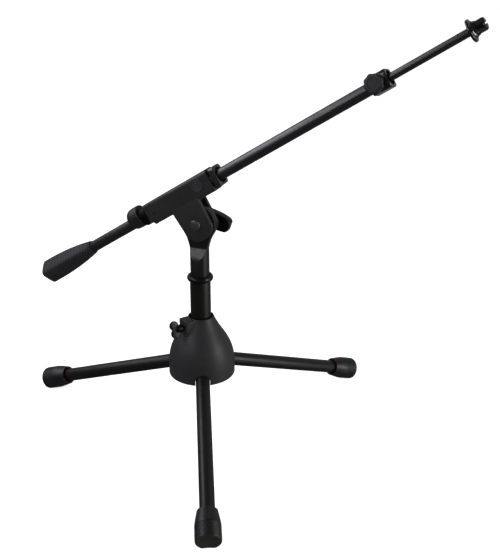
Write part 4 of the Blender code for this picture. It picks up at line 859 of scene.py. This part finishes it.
def make_clutch():
    low = (CLUTCH_START, -CLUTCH_HALF, -CLUTCH_HALF)
    high = (CLUTCH_END, CLUTCH_HALF, CLUTCH_HALF)
    body = at(brick("clutch_body_detail", low, high, CLUTCH_EDGE, 10, 0.0012), CLUTCH_LINE)
    spin = CLUTCH_LINE @ ALONG_X
    socket = rod("clutch_socket", OUTER_RADIUS + CLEAR, OUTER_END + CLEAR, CLUTCH_CUT_LOW, 96)
    bore = rod("clutch_bore", INNER_RADIUS + CLEAR, CLUTCH_CUT_HIGH, CLUTCH_CUT_LOW, 96)
    funnel = [(0.0094, CLUTCH_CUT_HIGH), (0.0094, CLUTCH_END - 0.0008), (0.0086, CLUTCH_END - 0.0060)]
    mouth = lathe("clutch_mouth", solid(funnel), 96)
    stud = rod("clutch_stud_hole", 0.0029, -0.004, -0.016, 32)
    knob_place = CLUTCH_LINE @ Matrix.Translation((CLUTCH_KNOB_X, 0.0, 0.0))
    carve(body, cuts=[at(socket, spin), at(bore, spin), at(mouth, spin), at(stud, knob_place @ ACROSS)])
    piece(body, MATERIALS["gloss"], "boom", "clutch_body")

    stem = at(lathe("clutch_knob_detail", soft_corners(
        [(0.0, -0.0081, 0.0), (0.0025, -0.0081, 0.0004), (0.0025, -0.0121, 0.0), (0.0060, -0.0121, 0.0004),
         (0.0060, -0.0150, 0.0), (0.0, -0.0150, 0.0)]), 48), knob_place @ ACROSS)
    outline = []
    for i in range(GRIP_POINTS):
        angle = TAU * i / GRIP_POINTS
        reach = GRIP_RADIUS + GRIP_WAVE * math.cos(GRIP_LOBES * angle)
        outline.append((reach * math.cos(angle), reach * math.sin(angle)))
    grip = at(slab("clutch_grip", outline, 0.0080, 0.0012, 4),
              knob_place @ Matrix.Translation((0.0, -0.0182, 0.0)) @ UPRIGHT)
    dish = at(lathe("clutch_dish", solid([(0.0078, 0.0010), (0.0070, -0.0006)]), 64),
              knob_place @ Matrix.Translation((0.0, -0.0222, 0.0)) @ UPRIGHT)
    carve(stem, joins=[grip])
    carve(stem, cuts=[dish])
    piece(stem, MATERIALS["plastic"], "clutch_hand_knob", "clutch_knob", sharp=40.0)


def make_thread(name, low, high, sides=96, rows_per_turn=8):
    """The stud's thread: its surface rises and falls along a true helix, and fades out at both ends."""
    bm = bmesh.new()
    count = int((high - low) / THREAD_PITCH * rows_per_turn)
    loops = []
    for row in range(count + 1):
        z = low + (high - low) * row / count
        fade = min(1.0, (z - low) / THREAD_PITCH, (high - z) / THREAD_PITCH)
        ring = []
        for i in range(sides):
            phase = (z / THREAD_PITCH - i / sides) % 1.0
            tooth = 1.0 - abs(2.0 * phase - 1.0)
            radius = STUD_CORE + (STUD_RADIUS - STUD_CORE) * min(1.0, tooth * 1.35) * max(fade, 0.0)
            angle = TAU * i / sides
            ring.append(bm.verts.new((radius * math.cos(angle), radius * math.sin(angle), z)))
        loops.append(ring)
    for first, second in zip(loops, loops[1:]):
        for i in range(sides):
            j = (i + 1) % sides
            bm.faces.new((first[i], first[j], second[j], second[i]))
    bm.faces.new(list(reversed(loops[0])))
    bm.faces.new(loops[-1])
    bmesh.ops.recalc_face_normals(bm, faces=bm.faces)
    return as_object(name, bm)


def make_tip():
    spin = LINE @ ALONG_X
    stud = at(make_thread("mic_stud_thread", INNER_END + 0.0006, STUD_END - 0.0012), spin)
    seat, foot = INNER_END + CLEAR, INNER_END - 0.0180
    spigot = at(lathe("stud_core", soft_corners(
        [(0.0, STUD_END, 0.0), (0.0064, STUD_END, 0.0004), (STUD_CORE, STUD_END - 0.0010, 0.0),
         (STUD_CORE, seat, 0.0), (STUD_SPIGOT, seat, 0.0), (STUD_SPIGOT, foot, 0.0005), (0.0, foot, 0.0)]),
        96), spin)
    low = (STUD_END - SLOT_DEPTH, -0.02, -STUD_SLOT_HALF)
    high = (STUD_END + 0.002, 0.02, STUD_SLOT_HALF)
    slot = at(brick("stud_slot", low, high, 0.0, 1, 0.0), LINE)
    hole = at(rod("stud_pin_hole", PIN_HOLE, PIN_HOLE_HALF, -PIN_HOLE_HALF, 24),
              LINE @ Matrix.Translation((PIN_X, 0.0, 0.0)) @ Matrix.Rotation(PIN_TURN, 4, "X"))
    carve(stud, joins=[spigot])
    carve(stud, cuts=[slot, hole])
    piece(stud, MATERIALS["screw"], "inner_boom", "mic_thread_stud", sharp=50.0)

    bore = STUD_RADIUS + CLEAR
    flare = bezier((0.0087, NUT_END), (0.0090, 0.4416), (0.0104, 0.4398), (0.0130, 0.4391), 20)
    profile = [(r, z, 0.0) for r, z in flare[1:-1]]
    profile += [(0.0140, 0.4388, 0.0016), (0.0140, NUT_START + 0.0002, 0.0016),
                (0.0118, NUT_START + 0.0008, 0.001), (0.0096, NUT_START, 0.0006), (bore, NUT_START, 0.0003),
                (bore, NUT_END, 0.0002), (0.0087, NUT_END, 0.0002)]
    nut = lathe("lock_nut_detail", soft_corners(profile, closed=True), 96, ring=True)
    piece(at(nut, spin), MATERIALS["gloss"], "nut", "lock_nut")


# Carried-over CAD nodes -----------------------------------------------
CARRIED = {
    "cast": ("leg_carrier", "leg_knuckle_left", "leg_knuckle_front", "leg_knuckle_right"),
    "steel": ("carrier_screw_1", "carrier_screw_2", "carrier_screw_3", "leg_pin_left", "leg_pin_front",
              "leg_pin_right", "bush_set_screw", "knob_washer", "stud_pin"),
    "plastic": ("column_guide_bush", "column_end_plug", "friction_washer_near", "friction_washer_far",
                "inner_guide_sleeve"),
    "brass": ("clamp_pad", "clutch_pad"),
}


def dress_carried_nodes():
    for key, names in CARRIED.items():
        for name in names:
            node = frame["nodes"][name]
            node.data.materials.clear()
            node.data.materials.append(MATERIALS[key])


# Floor and light ------------------------------------------------------
FLOOR_EMISSION = 0.80                                # makes the far floor as white as the near floor
FILL_BELOW, FILL_ABOVE = 0.85, 0.22
REFLECTED_FRONT, REFLECTED_BACK, REFLECTED_FLOOR = 0.09, 0.32, 0.60
FLOOR_GLOW_AIM, FLOOR_GLOW_EDGE, FLOOR_GLOW = (1.0, -14.0), 0.88, 1.0
STUDIO = (
    ("left_box", (-1.68, -0.36, 1.55), (2.2, 1.0), 24.0, (0.92, 0.94, 1.0)),
    ("right_box", (1.95, 0.04, 0.72), (0.7, 1.3), 20.0, (1.0, 1.0, 1.0)),
    ("front_box", (-0.82, -1.76, 1.22), (0.7, 0.5), 6.0, (0.92, 0.93, 1.0)),
)


def make_stage():
    bm = bmesh.new()
    bmesh.ops.create_grid(bm, x_segments=4, y_segments=4, size=30.0)
    floor = as_object("floor", bm)
    material = bpy.data.materials.new("pale_floor")
    material.use_nodes = True
    shader = material.node_tree.nodes["Principled BSDF"]
    shader.inputs["Base Color"].default_value = (0.90, 0.90, 0.90, 1.0)
    shader.inputs["Roughness"].default_value = 0.9
    shader.inputs["Specular IOR Level"].default_value = 0.0
    shader.inputs["Emission Color"].default_value = (1.0, 1.0, 1.0, 1.0)
    shader.inputs["Emission Strength"].default_value = FLOOR_EMISSION
    floor.data.materials.append(material)
    floor.visible_glossy = False
    floor.visible_diffuse = False


def make_world():
    """White behind the object, dim for its reflections, and a soft fill for its matt surfaces."""
    world = bpy.data.worlds.new("studio")
    bpy.context.scene.world = world
    world.use_nodes = True
    tree = world.node_tree
    background = tree.nodes["Background"]
    paths = tree.nodes.new("ShaderNodeLightPath")
    direction = tree.nodes.new("ShaderNodeTexCoord")
    split = tree.nodes.new("ShaderNodeSeparateXYZ")
    tree.links.new(direction.outputs["Generated"], split.inputs[0])

    def ramp(socket, low, high, start, end):
        node = tree.nodes.new("ShaderNodeMapRange")
        for key, value in (("From Min", low), ("From Max", high), ("To Min", start), ("To Max", end)):
            node.inputs[key].default_value = value
        tree.links.new(socket, node.inputs["Value"])
        return node.outputs["Result"]

    def mix(factor, first, second):
        node = tree.nodes.new("ShaderNodeMix")
        for socket, value in zip((node.inputs[0], node.inputs[2], node.inputs[3]), (factor, first, second)):
            if isinstance(value, float):
                socket.default_value = value
            else:
                tree.links.new(value, socket)
        return node.outputs[0]

    def toward(azimuth, elevation):
        """How nearly a direction points to the given place in the sky, as a cosine."""
        flat = math.cos(math.radians(elevation))
        aim = (flat * math.cos(math.radians(azimuth)), flat * math.sin(math.radians(azimuth)),
               math.sin(math.radians(elevation)))
        dot = tree.nodes.new("ShaderNodeVectorMath")
        dot.operation = "DOT_PRODUCT"
        dot.inputs[1].default_value = aim
        tree.links.new(direction.outputs["Generated"], dot.inputs[0])
        return dot.outputs["Value"]

    def combine(operation, first, second):
        node = tree.nodes.new("ShaderNodeMath")
        node.operation = operation
        tree.links.new(first, node.inputs[0])
        tree.links.new(second, node.inputs[1])
        return node.outputs[0]

    fill = ramp(split.outputs["Z"], -0.4, 0.4, FILL_BELOW, FILL_ABOVE)
    backdrop = ramp(split.outputs["Y"], 0.1, 0.8, REFLECTED_FRONT, REFLECTED_BACK)
    above = ramp(split.outputs["Z"], -0.25, 0.10, REFLECTED_FLOOR, 1.0)
    glow = ramp(toward(*FLOOR_GLOW_AIM), FLOOR_GLOW_EDGE, 1.0, 0.0, FLOOR_GLOW)
    reflected = combine("ADD", combine("MULTIPLY", backdrop, above), glow)
    lit = mix(paths.outputs["Is Glossy Ray"], fill, reflected)
    tree.links.new(mix(paths.outputs["Is Camera Ray"], lit, 1.0), background.inputs["Strength"])
    background.inputs["Color"].default_value = (1.0, 1.0, 1.0, 1.0)


def make_lights():
    for name, location, size, power, colour in STUDIO:
        data = bpy.data.lights.new(name, "AREA")
        data.shape = "RECTANGLE"
        data.size, data.size_y = size
        data.energy = power
        data.color = colour
        light = bpy.data.objects.new(name, data)
        light.location = location
        aim = Vector((0.0, 0.0, 0.3)) - Vector(location)
        light.rotation_euler = aim.to_track_quat("-Z", "Y").to_euler()
        bpy.context.scene.collection.objects.link(light)
    bpy.context.scene.view_settings.view_transform = "Standard"


make_hub()
make_hub_screw()
for side_name in SIDES:
    make_leg(side_name)
make_column()
make_shank()
make_head()
make_bushes()
make_pivot()
make_tubes()
make_counterweight()
make_clutch()
make_tip()
dress_carried_nodes()
make_stage()
make_world()
make_lights()
